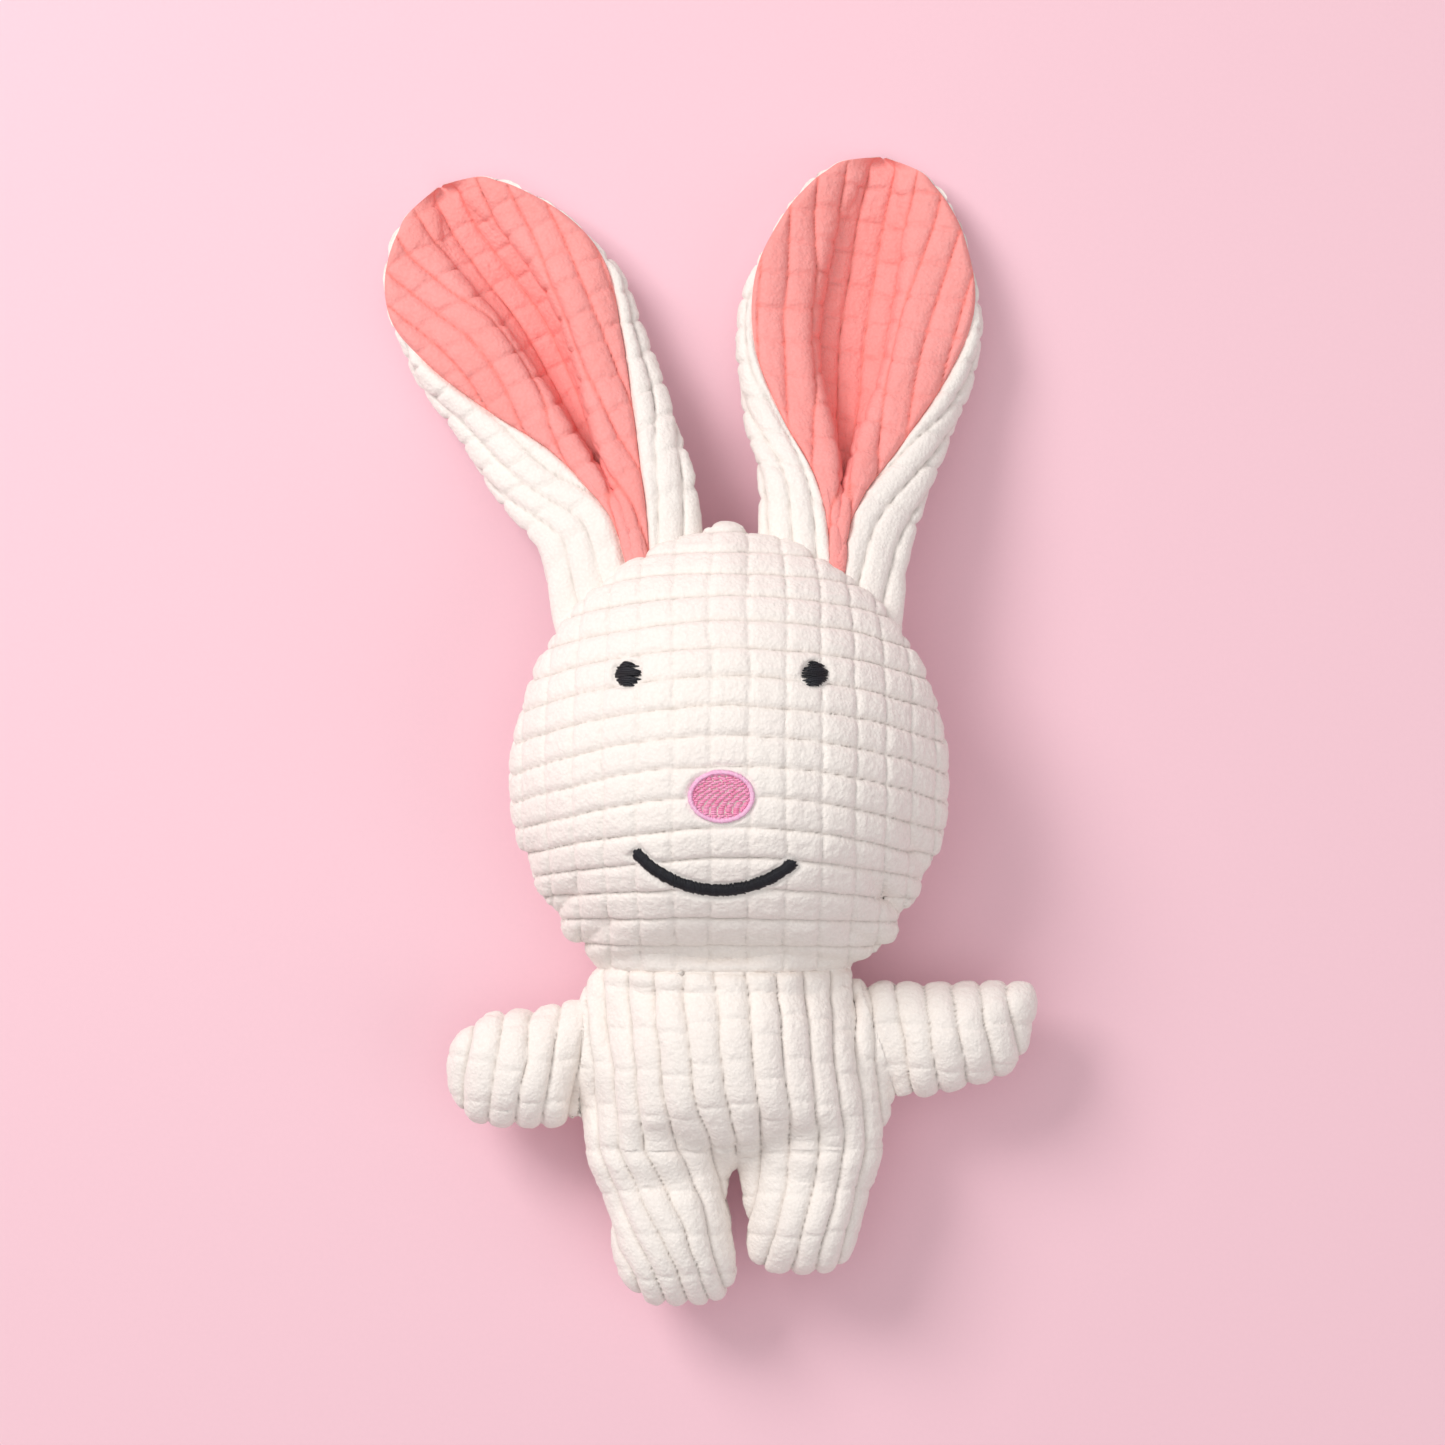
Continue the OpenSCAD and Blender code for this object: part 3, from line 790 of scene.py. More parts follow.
def laid_across(corners, count):
    """Even points on a smooth curve through each row of corners, and how far along each one is."""
    spans = corners.shape[1] - 1
    fine = np.linspace(0, spans, 24 * spans + 1)
    i = np.minimum(fine.astype(int), spans - 1)
    t = (fine - i)[None, :, None]
    before, after = 2 * corners[:, :1] - corners[:, 1:2], 2 * corners[:, -1:] - corners[:, -2:-1]
    extended = np.concatenate([before, corners, after], axis=1)
    p0, p1, p2, p3 = (extended[:, i + k] for k in range(4))
    square = 2 * p0 - 5 * p1 + 4 * p2 - p3
    cube = 3 * (p1 - p2) + p3 - p0
    line = 0.5 * (2 * p1 + (p2 - p0) * t + square * t**2 + cube * t**3)
    step = np.linalg.norm(np.diff(line, axis=1), axis=2)
    length = np.concatenate([np.zeros((len(step), 1)), np.cumsum(step, axis=1)], axis=1)
    rows, lengths = [], []
    for row, reach in zip(line, length):
        even = np.linspace(0, reach[-1], count)
        rows.append(np.stack([np.interp(even, reach, row[:, k]) for k in range(2)], axis=-1))
        lengths.append(even - np.interp(fine[len(fine) // 2], fine, reach))
    return np.array(rows), np.array(lengths)


# %% The shape of each ear, in millimetres along it and across it
EAR_LEVELS = (0, 16, 32, 52, 72, 88, 99, 106.5, 110.5, 113)
EARS = {
    "left": dict(
        side=-1,
        lean=28,
        length=109.5,
        shift=0.0,
        outer=(
            (20.3, 21.2, 24.4, 25.8, 28.7, 27.6, 22.7, 15.5, 9.5, 0),
            (20.6, 22.8, 25.7, 28, 29.7, 25.6, 19.5, 13.5, 8.5, 0),
        ),
        edge=(
            (0.5, -2.3, -6.8, -17.3, -25.6, -27.5, -22.7, -15.5, -9.5, 0),
            (6, 11.3, 17, 23.7, 28.9, 25.6, 19.5, 13.5, 8.5, 0),
        ),
        ridge=(
            (2.3, 0.8, -1, -3.2, -6, -9, -9, -6, -4, 0),
            (3.0, 4.2, 7, 12, 14.4, 12.5, 9, 6, 4, 0),
        ),
        ridge_up=(7, 10, 13, 15, 13, 8, 4.5, 2.5, 1.5, 0.5),
        edge_up=(6.5, 9, 11.5, 12, 11, 9.5, 8, 6, 4.5, 3),
    ),
    "right": dict(
        side=1,
        lean=8,
        length=105.5,
        shift=0.9,
        outer=(
            (19.2, 21.4, 25.2, 29.6, 29.6, 25.3, 20, 14, 8.8, 0),
            (19.0, 21.2, 25.2, 29.8, 30.0, 25.6, 20.3, 14, 8.8, 0),
        ),
        edge=(
            (1.4, -6.0, -16.0, -26.4, -29.3, -25.3, -20, -14, -8.8, 0),
            (2.4, 6.5, 15.4, 24.6, 29.2, 25.6, 20.3, 14, 8.8, 0),
        ),
        ridge=(
            (1.6, -0.8, -5.4, -12.8, -14.5, -12.5, -9.5, -6, -4, 0),
            (2.0, 3, 5.6, 10.6, 12.2, 11, 9, 6, 4, 0),
        ),
        ridge_up=(7, 10, 12, 13, 10.5, 7, 4, 2.5, 1.5, 0.5),
        edge_up=(6.5, 9, 11.5, 13, 12.5, 10, 7.5, 5.5, 4.5, 3),
    ),
}
TROUGH_Z = (32.5, 24.5, 15.5, 7.6, 4.6, 4.0, 4.0, 4.0, 4.0, 4.0)
EAR_ROWS, EAR_COLUMNS = 190, 150
EAR_RIB, EAR_BLOCK = 7.2 * MM, 9.0 * MM
EAR_PILE = 1.8 * MM
EAR_LAYER = 0.35 * MM
BASE_BLEND = 14
BASE_SUNK = 7 * MM
BASE_TURN = 34
RIM_OVER = 0.5
RIM_IN = 0.10
TIP_FROM, TIP_OVER = 0.58, 0.16
ROW_CROWDING = 0.45
SHORT_OF_TIP = 0.9985
HOLLOW = 3
FOLD_SIZE, FOLD_HEIGHT = 13 * MM, 0.9 * MM


def ear_base(ear):
    """Middle of the ear's base on the head's outline, the outline's slope there, and the ear's lean."""
    joint = joints[f"ear_{ear}_fold"]
    slope = math.atan2(joint["axis"][1], joint["axis"][0])
    return np.array(joint["pos_m"][:2]), slope, -EARS[ear]["side"] * math.radians(EARS[ear]["lean"])


def between(a, b, share):
    """The number that lies this share of the way from a to b."""
    return a * (1 - share) + b * share


def ear_sheet(name, ear, lining):
    """Layer of an ear: the coral lining between the flaps' edges, or the white back round behind."""
    shape = EARS[ear]
    base, slope, lean = ear_base(ear)
    t = np.linspace(0, 1, EAR_ROWS)
    crowded = (1 - ROW_CROWDING) * t + ROW_CROWDING * np.sin(t * math.pi / 2)
    v = shape["length"] * crowded * SHORT_OF_TIP
    levels = np.array(EAR_LEVELS) * shape["length"] / EAR_LEVELS[-1]

    def read(values):
        return through(v, levels, values)

    # Across the ear, for its left and right side: the outer fold, the flap's edge and the ridge.
    w0, w1 = (read(x) * sign for x, sign in zip(shape["outer"], (-1, 1)))
    e0, e1 = (read(x) for x in shape["edge"])
    g0, g1 = (read(x) for x in shape["ridge"])
    trough, up, edge_up = read(TROUGH_Z), read(shape["ridge_up"]), read(shape["edge_up"])
    middle = (g0 + g1) / 2
    near_tip = smooth((v / shape["length"] - TIP_FROM) / TIP_OVER)
    e0, e1 = e0 - RIM_OVER * near_tip * (e0 < 0), e1 + RIM_OVER * near_tip * (e1 > 0)
    w0, w1 = w0 * (1 - RIM_IN * near_tip), w1 * (1 - RIM_IN * near_tip)
    if lining:
        left = [e0, between(e0, g0, 0.55), g0, between(g0, middle, 0.28)]
        right = [e1, between(e1, g1, 0.55), g1, between(g1, middle, 0.28)]
        across = [*left, middle, *right[::-1]]
        strip = np.maximum(edge_up, up) + 0.2
        half_height = [edge_up, between(strip, up, 0.45), up, up * 0.3]
        height = [*half_height, 0 * up, *half_height[::-1]]
    else:
        left = [e0, between(e0, w0, 0.5), between(e0, w0, 0.985), w0 * 0.8, middle - 2]
        right = [e1, between(e1, w1, 0.5), between(e1, w1, 0.985), w1 * 0.8, middle + 2]
        across = [*left, *right[::-1]]
        under = 0 * up - HOLLOW
        half_height = [edge_up, edge_up * 0.92, edge_up * 0.45, under + 1.1, under]
        height = [*half_height, *half_height[::-1]]
    corners = np.stack([np.stack(across, axis=1), np.stack(height, axis=1) + trough[:, None]], axis=-1)
    section, length = laid_across(corners, EAR_COLUMNS)

    # Lay the sections along the ear's line, with the lowest ones sewn along the head's outline.
    line = np.array([-math.sin(lean), math.cos(lean)])
    turn = slope + (lean - slope) * smooth(v / BASE_TURN)
    wide = section[..., 0] + shape["shift"]
    turned = np.stack([np.cos(turn)[:, None] * wide, np.sin(turn)[:, None] * wide], axis=-1)
    plan = base + (line * v[:, None] * MM)[:, None, :] + turned * MM
    to_side = (plan[..., 0] - HEAD_X) / HEAD_HALF
    on_head = HEAD_MID_Y + HEAD_RISE * np.sqrt(np.maximum(1 - to_side**2, 0)) - BASE_SUNK
    sewn = (1 - smooth(v / BASE_BLEND)) * smooth((12 - np.abs(v)) / 12)
    plan[..., 1] += (on_head - (base[1] + np.sin(slope) * wide * MM)) * sewn[:, None]
    grid = np.concatenate([plan, section[..., 1:] * MM], axis=-1)
    folds = noise(np.concatenate([plan, 0 * plan[..., :1]], axis=-1), FOLD_SIZE, 21) * FOLD_HEIGHT
    free = smooth(v / 20) * np.clip((shape["length"] - v) / 20, 0, 1)
    grid[..., 2] += folds * free[:, None]
    outward = np.cross(np.gradient(grid, axis=1), np.gradient(grid, axis=0))
    outward /= np.maximum(np.linalg.norm(outward, axis=-1, keepdims=True), TINY)
    if not lining:
        outward = -outward
    seed = 31 + shape["side"] + 5 * lining
    return relief_sheet(name, grid, outward, length * MM, v * MM, seed, lining)


def relief_sheet(name, grid, outward, across, along, seed, lining):
    """Mesh of a grid of points, with the pile raised on its outer side."""
    rows, columns = grid.shape[:2]

    def uneven(size, number):
        return noise(grid, size, seed + number)

    u = across / EAR_RIB + uneven(15 * MM, 0) * 0.12 + 0.5
    rib = np.floor(u)
    v = along[:, None] / EAR_BLOCK + uneven(12 * MM, 1) * 0.12
    v = v + lattice(np.stack([rib, 0 * rib, 0 * rib], axis=-1), seed) * 0.4
    rib_top = edge(u, EAR_RIB, 3.1 * MM)
    block_top = edge(v, EAR_BLOCK, 2.2 * MM)
    column = np.arange(columns)
    width = np.abs(across[:, -1:] - across[:, :1])
    rim_to_tip = (along[-1] - along)[:, None]
    rim = np.minimum(np.minimum(column, column[::-1]) * width / columns, rim_to_tip * 1.2)
    fade = np.sqrt(1 - (1 - np.clip(rim / (2.4 * MM), 0, 1)) ** 2) * smooth(rim_to_tip / (8 * MM))
    tufts = (uneven(1.1 * MM, 2) * 0.13 + uneven(2.6 * MM, 3) * 0.06) * MM
    pile = EAR_LAYER + (EAR_PILE * rib_top * (0.3 + 0.7 * block_top) + tufts * (0.4 + rib_top))
    risen = (grid + outward * (pile * fade)[..., None]).reshape(-1, 3)
    risen[:, 2] = rest_flat(risen[:, 2])
    index = np.arange(rows * columns).reshape(rows, columns)
    corners = [index[:-1, :-1], index[:-1, 1:], index[1:, 1:], index[1:, :-1]]
    quads = np.stack(corners, axis=-1).reshape(-1, 4)
    if not lining:
        quads = quads[:, ::-1]
    o = new_object(name, risen, quads.tolist())
    o.data.shade_smooth()
    depth = rib_top * (0.45 + 0.55 * block_top)
    keep_on_points(o, "pattern", np.stack([u, v, depth], axis=-1))
    return o


# %% Make the four layers
ear_pieces = {}
for ear in EARS:
    for layer in ("lining", "back"):
        node = f"ear_{ear}_{layer}"
        piece = ear_sheet(node + "_plush", ear, layer == "lining")
        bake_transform(piece)
        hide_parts(node)
        ear_pieces[node] = piece
        print(node, len(piece.data.polygons), "faces")


# %% [markdown]
# ## The face, in thread
#
# The eyes, nose and smile are embroidered: thread is laid across in close stitches that press the pile
# down and stand a little proud of it. Every stitch is a small tube that sinks into the cloth at both
# ends. The smile and the ring of the nose are satin stitches across a narrow band, the eyes are satin
# stitches from side to side with uneven inner ends, and the nose is filled with rows of short stitches.

# %% Lay stitches on the cloth
STITCH_SIDES = 6
STITCH_RINGS = 5
END_WIDTH = (0.5, 0.95, 1, 0.95, 0.5)
END_SINK = 0.55


def dither(number, seed):
    """A number from -1 to 1 for each stitch."""
    return float(lattice(np.array([number, 7, 3]), seed)) * 2 - 1


def on_face(x, y):
    """Point of the face under a place, and the way it faces."""
    return skin_surface.ray_cast(Vector((x, y, 0.2)), Vector((0, 0, -1)))[:2]


def sewn(name, stitches, thick, rise, rest=-0.25 * MM):
    """One piece made of stitches, each given by the points of the cloth that it runs over."""
    verts, faces, ply = [], [], []
    for number, (track, lift) in enumerate(stitches):
        start = len(verts)
        run = track[-1][0] - track[0][0]
        ahead = run.normalized()
        for ring, (at, facing) in enumerate(track):
            t = ring / (STITCH_RINGS - 1)
            up = rest + lift + rise * math.sin(math.pi * t) ** 0.7 - END_SINK * thick * (t in (0, 1))
            across = facing.cross(ahead).normalized()
            for k in range(STITCH_SIDES):
                a = 2 * math.pi * k / STITCH_SIDES
                off = across * math.cos(a) * thick / 2 + facing * math.sin(a) * thick * 0.42
                verts.append(at + facing * up + off * END_WIDTH[ring])
                ply.append((t * run.length / MM, k / STITCH_SIDES, dither(number, 9)))
        for ring in range(STITCH_RINGS - 1):
            for k in range(STITCH_SIDES):
                a, b = start + ring * STITCH_SIDES, start + (ring + 1) * STITCH_SIDES
                n = (k + 1) % STITCH_SIDES
                faces.append((a + k, a + n, b + n, b + k))
        faces.append(tuple(start + k for k in reversed(range(STITCH_SIDES))))
        last = start + (STITCH_RINGS - 1) * STITCH_SIDES
        faces.append(tuple(last + k for k in range(STITCH_SIDES)))
    o = new_object(name, verts, faces)
    face_outwards(o)
    shade_smooth(o)
    keep_on_points(o, "ply", ply)
    print(name, len(stitches), "stitches,", len(faces), "faces")
    return o


def face_stitch(a, b, lift=0.0):
    """A stitch over the face from a to b."""
    steps = [np.array(a) + (np.array(b) - np.array(a)) * t for t in np.linspace(0, 1, STITCH_RINGS)]
    return [on_face(x, y) for x, y in steps], lift


# %% The eyes and the smile
EYE_THREAD = 0.62 * MM
EYE_ROWS = 13
EYE_LAYERS = 2


def eye_stitches(box, inner):
    """Rows of thread across a round eye; the ends on the inner side are uneven."""
    middle, half = middle_and_half(box)
    rows = []
    for layer in range(EYE_LAYERS):
        for row in range(EYE_ROWS):
            t = (row + 0.5 + 0.5 * layer) / (EYE_ROWS + 0.5 * layer) * 2 - 1
            reach = half.x * math.sqrt(max(1 - t * t, 0.06))
            y = middle.y + half.y * t * 0.97
            ends = [-reach, reach]
            ragged = 1 if inner > 0 else 0
            ends[ragged] += inner * (0.75 * MM * dither(row + 20 * layer, 3) - 0.05 * MM)
            ends[1 - ragged] += 0.18 * MM * dither(row + 20 * layer, 4)
            lean = 0.35 * MM * dither(row, 5)
            lift = (0.30 * layer + 0.35 * (1 - t * t)) * MM
            rows.append(face_stitch((middle.x + ends[0], y - lean), (middle.x + ends[1], y + lean), lift))
    return rows


eyes = []
for side, box, inner in zip(("left", "right"), EYES, (1, -1)):
    eyes.append(sewn(f"eye_{side}_thread", eye_stitches(box, inner), EYE_THREAD, 0.45 * MM))

SMILE_PITCH = 0.40 * MM
SMILE_THREAD = 0.60 * MM
SMILE_LEAN = 0.35 * MM


def smile_stitches():
    """Satin stitches across the curve of the mouth, from the left end to the right."""
    count = int(2 * mouth_reach * mouth_radius / SMILE_PITCH)
    lean = SMILE_LEAN / mouth_radius
    rows = []
    for i in range(count):
        t = i / (count - 1) * 2 - 1
        angle = t * mouth_reach + MOUTH_TURN
        ends = []
        for side in (-1, 1):
            end_round = math.sqrt(max(1 - max(0, (abs(t) - 0.965) / 0.035) ** 2, 0.1))
            away = mouth_radius + side * (MOUTH_WIDE / 2 * end_round + 0.2 * MM * dither(i, 5 + side))
            turn = angle + side * lean
            ends.append(mouth_centre + away * np.array([math.sin(turn), -math.cos(turn)]))
        rows.append(face_stitch(ends[0], ends[1]))
    return rows


smile = sewn("mouth_thread", smile_stitches(), SMILE_THREAD, 0.75 * MM)

# %% The nose
RING_WIDE = 1.35 * MM
RING_COUNT = 120
FILL_ROW = 0.52 * MM
FILL_LENGTH = 1.9 * MM


def nose_ring_stitches():
    """Satin stitches across the raised ring round the nose."""
    middle, half = middle_and_half(NOSE)
    rows = []
    for i in range(RING_COUNT):
        a = 2 * math.pi * i / RING_COUNT
        ends = []
        for inward, twist in ((RING_WIDE, -0.05), (0, 0.05)):
            reach = inward - 0.1 * MM * dither(i, 12 + (inward > 0))
            x = (half.x - reach) * math.cos(a + twist)
            y = (half.y - reach) * math.sin(a + twist)
            ends.append((middle.x + x, middle.y + y))
        rows.append(face_stitch(*ends, lift=0.25 * MM))
    return rows


def nose_fill_stitches():
    """Rows of short stitches, each row shifted, inside the ring."""
    middle, half = middle_and_half(NOSE)
    wide, tall = half.x - RING_WIDE * 0.85, half.y - RING_WIDE * 0.85
    rows = []
    count = int(2 * tall / FILL_ROW)
    for row in range(count):
        y = -tall + (row + 0.5) * 2 * tall / count
        reach = wide * math.sqrt(max(1 - (y / tall) ** 2, 0))
        x = -reach
        step = FILL_LENGTH * (0.35 + 0.3 * (row % 3))
        while x < reach - 0.3 * MM:
            far = min(x + step, reach)
            level = middle.y + y + 0.12 * MM * dither(row * 31 + int(x / MM * 3), 17)
            ends = (middle.x + x, level - 0.1 * MM), (middle.x + far, level + 0.1 * MM)
            rows.append(face_stitch(*ends))
            x, step = far, FILL_LENGTH
    return rows


nose_ring = sewn("nose_ring_thread", nose_ring_stitches(), 0.55 * MM, 0.55 * MM)
nose_fill = sewn("nose_fill_thread", nose_fill_stitches(), 0.58 * MM, 0.30 * MM)

# %% The stitches that close the back
CLOSING_COUNT = 6
CLOSING_SPAN = 2.9 * MM


def closing_stitches():
    """Ladder stitches over the slit left for the filling, low on the back."""
    middle, half = middle_and_half(CLOSING)
    rows = []
    for i in range(CLOSING_COUNT):
        x = CLOSING[0].x + (i + 0.5) * 2 * half.x / CLOSING_COUNT
        track = []
        for t in np.linspace(-1, 1, STITCH_RINGS):
            lean = 0.5 * MM * t
            point = Vector((x + lean, middle.y, middle.z)) + Vector((0, -t * 0.4, t)) * CLOSING_SPAN / 2
            hit, facing = skin_surface.find_nearest(point)[:2]
            hit.z = rest_flat(hit.z)
            track.append((hit, facing))
        rows.append((track, 0.1 * MM))
    return rows


closing = sewn("closing_stitches_thread", closing_stitches(), 0.62 * MM, 0.55 * MM, rest=-0.2 * MM)

THREADS = [
    (eyes[0], "head", "eye_left", "thread_black"),
    (eyes[1], "head", "eye_right", "thread_black"),
    (smile, "head", "mouth", "thread_black"),
    (nose_ring, "head", "nose_border", "thread_pink_edge"),
    (nose_fill, "head", "nose", "thread_pink"),
    (closing, "torso", "closing_stitches", "thread_white"),
]
for piece, body, node, slot in THREADS:
    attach(piece, body)
    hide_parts(node)


# %% [markdown]
# ## The filling
#
# Inside each cover is a wad of polyester fibre. Nothing of it shows on a whole toy, but it is a piece
# of its own and is made as one: the model's plain solid is remeshed, drawn in so that it stays inside
# its cover, and made uneven like pulled fibre.

# %% Wads of fibre
WAD_CELL = 2.6 * MM
WAD_ROOM = 3.8 * MM
wads = {}
for part_name in PANELS:
    node = f"{part_name}_stuffing"
    wad = copies_joined(f"{node}_fibre", [node])
    apply(wad, "REMESH", mode="VOXEL", voxel_size=WAD_CELL)
    face_outwards(wad)
    apply(wad, "SMOOTH", factor=0.5, iterations=6)
    points = places(wad)
    uneven = WAD_ROOM + noise(points, 9 * MM, 40) * 0.8 * MM + noise(points, 4 * MM, 41) * 0.4 * MM
    place(wad, points - normals(wad) * uneven[:, None])
    shade_smooth(wad)
    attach(wad, part_name)
    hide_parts(node)
    wads[part_name] = wad
print({name: len(wad.data.polygons) for name, wad in wads.items()})

# %% [markdown]
# ## Finishes
#
# Plush is a knit ground with short fuzzy pile, so it has no gloss of its own: light is scattered by the
# fibre tips, which is what sheen gives. Deep between the blocks its colour is darkened as painted
# shade, and there the open knit shows as a ladder of fine threads. The colour also changes slightly
# over the cloth as the pile leans.
# Thread is smoother, with a soft gleam and a twist of plies.

# %% Arithmetic on shader sockets
class Wire:
    """A socket of a shader, on which plain arithmetic adds Math nodes."""

    def __init__(self, tree, socket):
        self.tree, self.socket = tree, socket

    def math(self, operation, *values):
        return add_node(self.tree, "ShaderNodeMath", {"operation": operation}, dict(enumerate(values)))

    def __add__(self, other):
        return self.math("ADD", self, other)

    def __rsub__(self, other):
        return self.math("SUBTRACT", other, self)

    def __mul__(self, other):
        return self.math("MULTIPLY", self, other)

    __radd__ = __add__
    __rmul__ = __mul__

    def wave(self):
        """Wave from 0 to 1, once for each whole number."""
        return self.math("SINE", self * (2 * math.pi)) * 0.5 + 0.5

    def step(self, low, high):
        """0 below low, 1 above high, and eased between them."""
        values = {"Value": self, "From Min": low, "From Max": high}
        return add_node(self.tree, "ShaderNodeMapRange", {"interpolation_type": "SMOOTHSTEP"}, values)


def add_node(tree, kind, settings, values, output=0):
    """Add a node: its settings first, then the values or links of its sockets."""
    made = tree.nodes.new(kind)
    for name, value in settings.items():
        setattr(made, name, value)
    for key, value in values.items():
        if isinstance(value, Wire):
            tree.links.new(value.socket, made.inputs[key])
        else:
            made.inputs[key].default_value = value
    return Wire(tree, made.outputs[output])


def mixed(share, first, second):
    """Colour between first and second, each a socket or three numbers."""
    colours = [x if isinstance(x, Wire) else (*x, 1) for x in (first, second)]
    values = {0: share, 6: colours[0], 7: colours[1]}
    return add_node(share.tree, "ShaderNodeMix", {"data_type": "RGBA"}, values, output=2)


def spot(tree):
    """Place on the piece, for its noises."""
    return add_node(tree, "ShaderNodeTexCoord", {}, {}, output="Object")


def cloud(tree, scale, detail, **more):
    """Soft noise from 0 to 1, with scale lumps to a metre."""
    values = {"Vector": spot(tree), "Scale": scale, "Detail": detail, **more}
    return add_node(tree, "ShaderNodeTexNoise", {}, values)


def stored(tree, name):
    """The three numbers kept under a name on the piece's points."""
    kept = tree.nodes.new("ShaderNodeAttribute")
    kept.attribute_name = name
    split = tree.nodes.new("ShaderNodeSeparateXYZ")
    tree.links.new(kept.outputs["Vector"], split.inputs[0])
    return [Wire(tree, split.outputs[k]) for k in range(3)]


def finish_for(colour, roughness, height, bump_distance, bump_strength, constants):
    """Close a material: colour, roughness and bump, and constants on the shader's own sockets."""
    tree = colour.tree
    shader = tree.nodes["Principled BSDF"]
    tree.links.new(colour.socket, shader.inputs["Base Color"])
    tree.links.new(roughness.socket, shader.inputs["Roughness"])
    relief = {"Strength": bump_strength, "Distance": bump_distance, "Height": height}
    bump = add_node(tree, "ShaderNodeBump", {}, relief)
    tree.links.new(bump.socket, shader.inputs["Normal"])
    for key, value in constants.items():
        shader.inputs[key].default_value = value


def new_material(name):
    material = bpy.data.materials.new(name)
    material.use_nodes = True
    return material, material.node_tree


# %% Plush
def plush(name, tips, groove_shade_colour, shade, ladder_axis, ladder_count, sheen):
    """Short fuzzy pile in blocks, with painted shade and a ladder of threads in the open lines between
    them.
    """
    material, tree = new_material(name)
    u, v, depth = stored(tree, "pattern")
    tufts = add_node(
        tree,
        "ShaderNodeTexVoronoi",
        {"feature": "SMOOTH_F1"},
        {"Vector": spot(tree), "Scale": 1150.0, "Randomness": 1.0, "Smoothness": 0.6},
    )
    fuzz = cloud(tree, 2600.0, 3.0, Roughness=0.7)
    lean = cloud(tree, 55.0, 2.0, Roughness=0.55)
    clumps = cloud(tree, 420.0, 2.0, Roughness=0.55)
    # Painted shade: deep in the grooves between the blocks the colour is drawn towards a darker groove
    # colour.
    groove_shade_share = 1 - depth.step(0.10, 0.62)
    ladder = (u if ladder_axis == "u" else v) * float(ladder_count)
    rungs = ladder.wave().step(0.35, 0.8) * (1 - depth.step(0.06, 0.34))
    colour = mixed(groove_shade_share * 0.75, tips, groove_shade_colour)
    colour = mixed(lean.step(0.35, 0.7) * 0.35, colour, shade)
    # Painted shade between the tufts: their edges lean a little towards the darker groove colour.
    colour = mixed(tufts.step(0.25, 0.75) * 0.14, colour, groove_shade_colour)
    colour = mixed(fuzz.step(0.62, 0.80) * 0.35, colour, tips)
    colour = mixed(rungs * 0.5, colour, tips)
    height = (1 - tufts) * 0.6 + fuzz * 0.45 + clumps * 0.15 + rungs * 0.25
    constants = {
        "Sheen Weight": sheen,
        "Sheen Roughness": 0.55,
        "Sheen Tint": (*tips, 1),
        "Specular IOR Level": 0.18,
    }
    finish_for(colour, 0.86 + fuzz * 0.12, height, 0.5 * MM, 0.7, constants)
    return material


# Colours of the tips of the pile, the painted shade deep in the grooves, and the pile where it leans away.
CREAM = ((0.95, 0.89, 0.84), (0.68, 0.60, 0.54), (0.93, 0.85, 0.81))
CORAL = ((0.95, 0.38, 0.36), (0.93, 0.20, 0.16), (0.95, 0.30, 0.27))
head_plush = plush("plush_cream_face", *CREAM, "u", 15, 0.45)
body_plush = plush("plush_cream_body", *CREAM, "v", 17, 0.45)
ear_plush = plush("plush_cream_ear", *CREAM, "v", 14, 0.45)
coral_plush = plush("plush_coral_lining", *CORAL, "v", 14, 0.30)


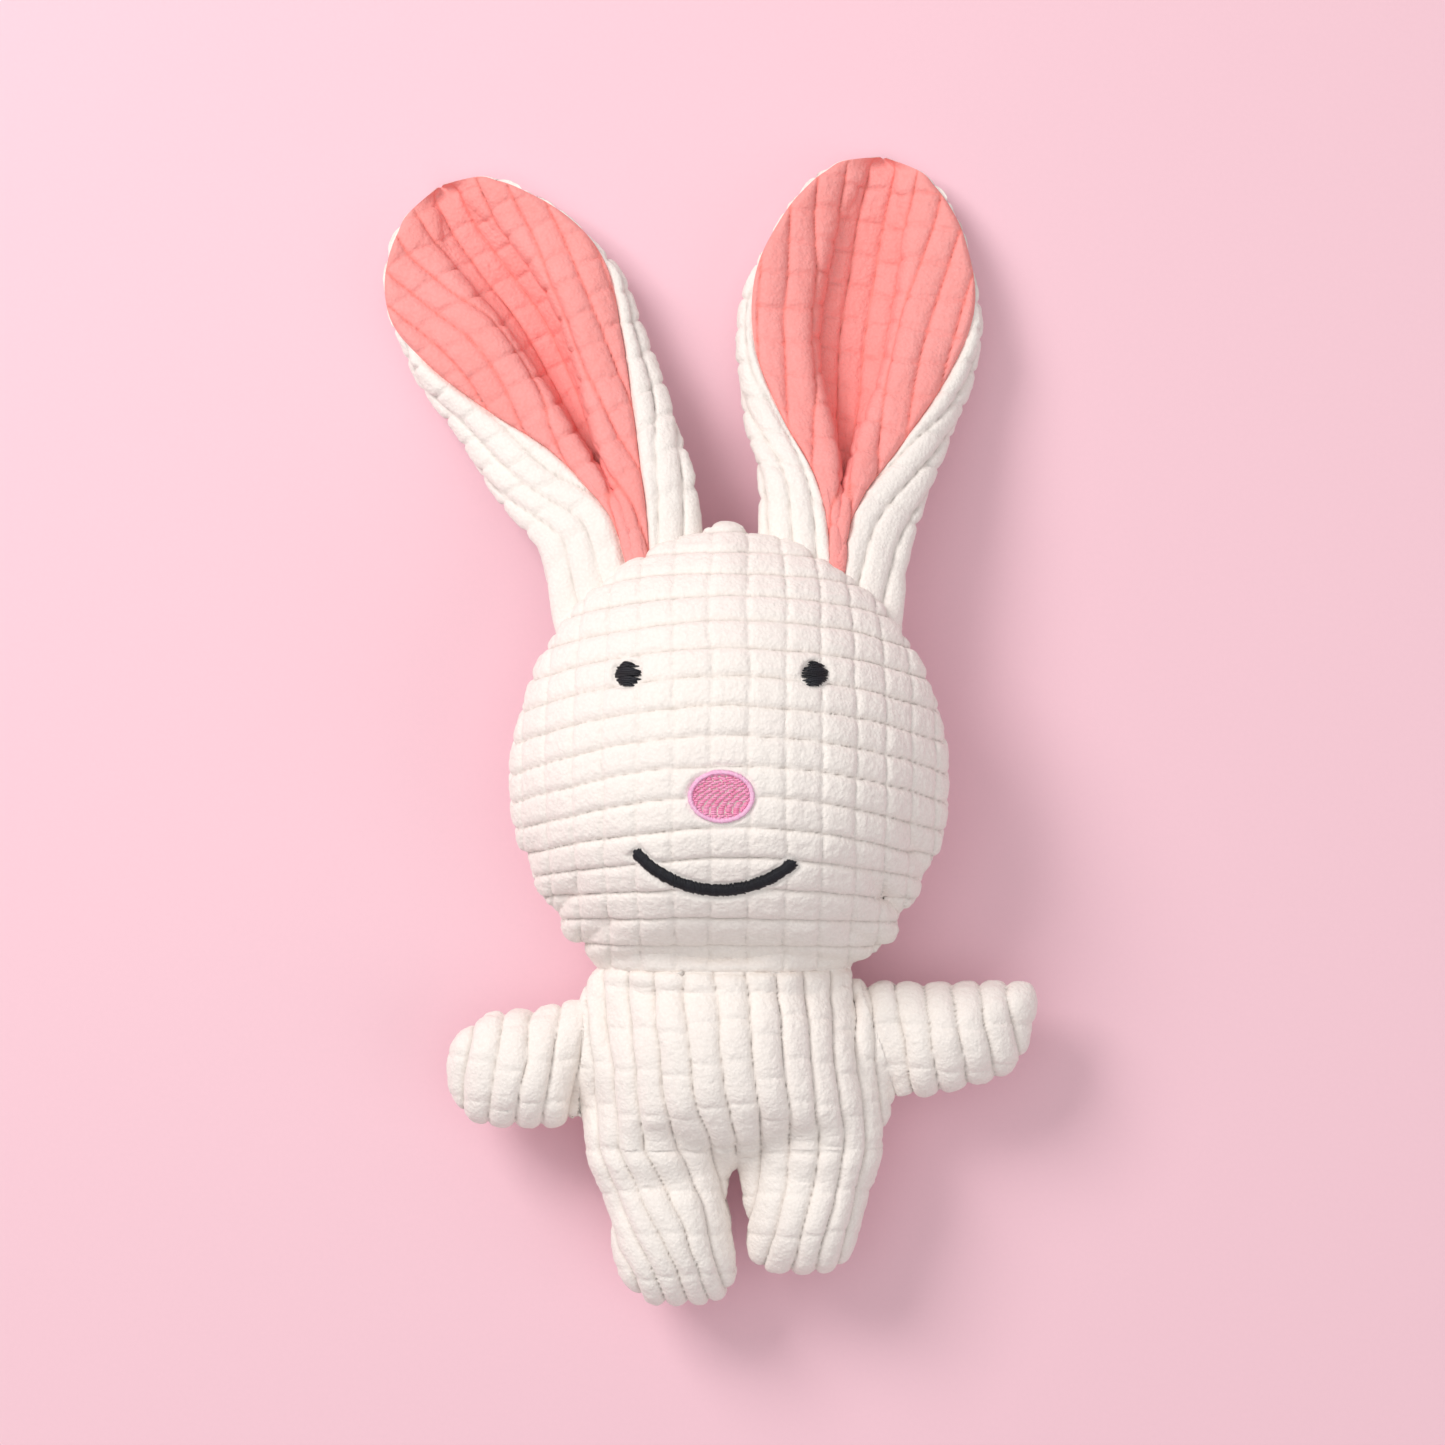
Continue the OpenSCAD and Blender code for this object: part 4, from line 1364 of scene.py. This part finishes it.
# %% Thread, fibre and floor
def thread(name, colour_low, colour_high, gleam, sheen=0.1):
    """Twisted thread with a soft gleam."""
    material, tree = new_material(name)
    along, around, chance = stored(tree, "ply")
    fine = cloud(tree, 3200.0, 3.0)
    twist = (along * 1.6 + around * 2.0).wave()
    colour = mixed(chance.step(-1.0, 1.0) * 0.6 + twist * 0.3, colour_low, colour_high)
    constants = {"Sheen Weight": sheen, "Sheen Roughness": 0.4, "Specular IOR Level": 0.45}
    finish_for(colour, gleam + fine * 0.25, twist * 0.6 + fine * 0.4, 0.12 * MM, 0.7, constants)
    return material


black_thread = thread("thread_black_satin", (0.004, 0.004, 0.007), (0.012, 0.013, 0.020), 0.5, 0.0)
pink_thread = thread("thread_pink_fill", (0.90, 0.26, 0.46), (0.96, 0.45, 0.66), 0.45)
pink_edge_thread = thread("thread_pink_ring", (0.93, 0.46, 0.70), (0.97, 0.62, 0.82), 0.40)
white_thread = thread("thread_white_plain", (0.80, 0.76, 0.72), (0.92, 0.89, 0.86), 0.5)


def fibre():
    """Loose white filling fibre."""
    material, tree = new_material("fibre_white")
    strands = cloud(tree, 300.0, 5.0, Distortion=2.5)
    colour = mixed(strands, (0.78, 0.78, 0.80), (0.93, 0.93, 0.94))
    constants = {"Sheen Weight": 0.3, "Sheen Roughness": 0.6}
    finish_for(colour, 0.85 + strands * 0.1, strands, 1.0 * MM, 0.9, constants)
    return material


PAPER = (0.93, 0.60, 0.68)


def floor_finish():
    """Plain matt paper."""
    material, tree = new_material("pale_paper")
    grain = cloud(tree, 900.0, 3.0)
    colour = mixed(grain, PAPER, [0.97 * c for c in PAPER])
    finish_for(colour, 0.8 + grain * 0.1, grain, 0.05 * MM, 0.3, {"Specular IOR Level": 0.2})
    return material


# %% Give every piece its finish
def wear(o, material):
    """Give a piece its finish."""
    o.data.materials.clear()
    o.data.materials.append(material)


for name, piece in covers.items():
    wear(piece, head_plush if name in PANELS["head"] else body_plush)
for node, piece in ear_pieces.items():
    wear(piece, coral_plush if node.endswith("lining") else ear_plush)
for piece in (*eyes, smile):
    wear(piece, black_thread)
wear(nose_ring, pink_edge_thread)
wear(nose_fill, pink_thread)
wear(closing, white_thread)
fibre_material = fibre()
for wad in wads.values():
    wear(wad, fibre_material)
wear(floor, floor_finish())
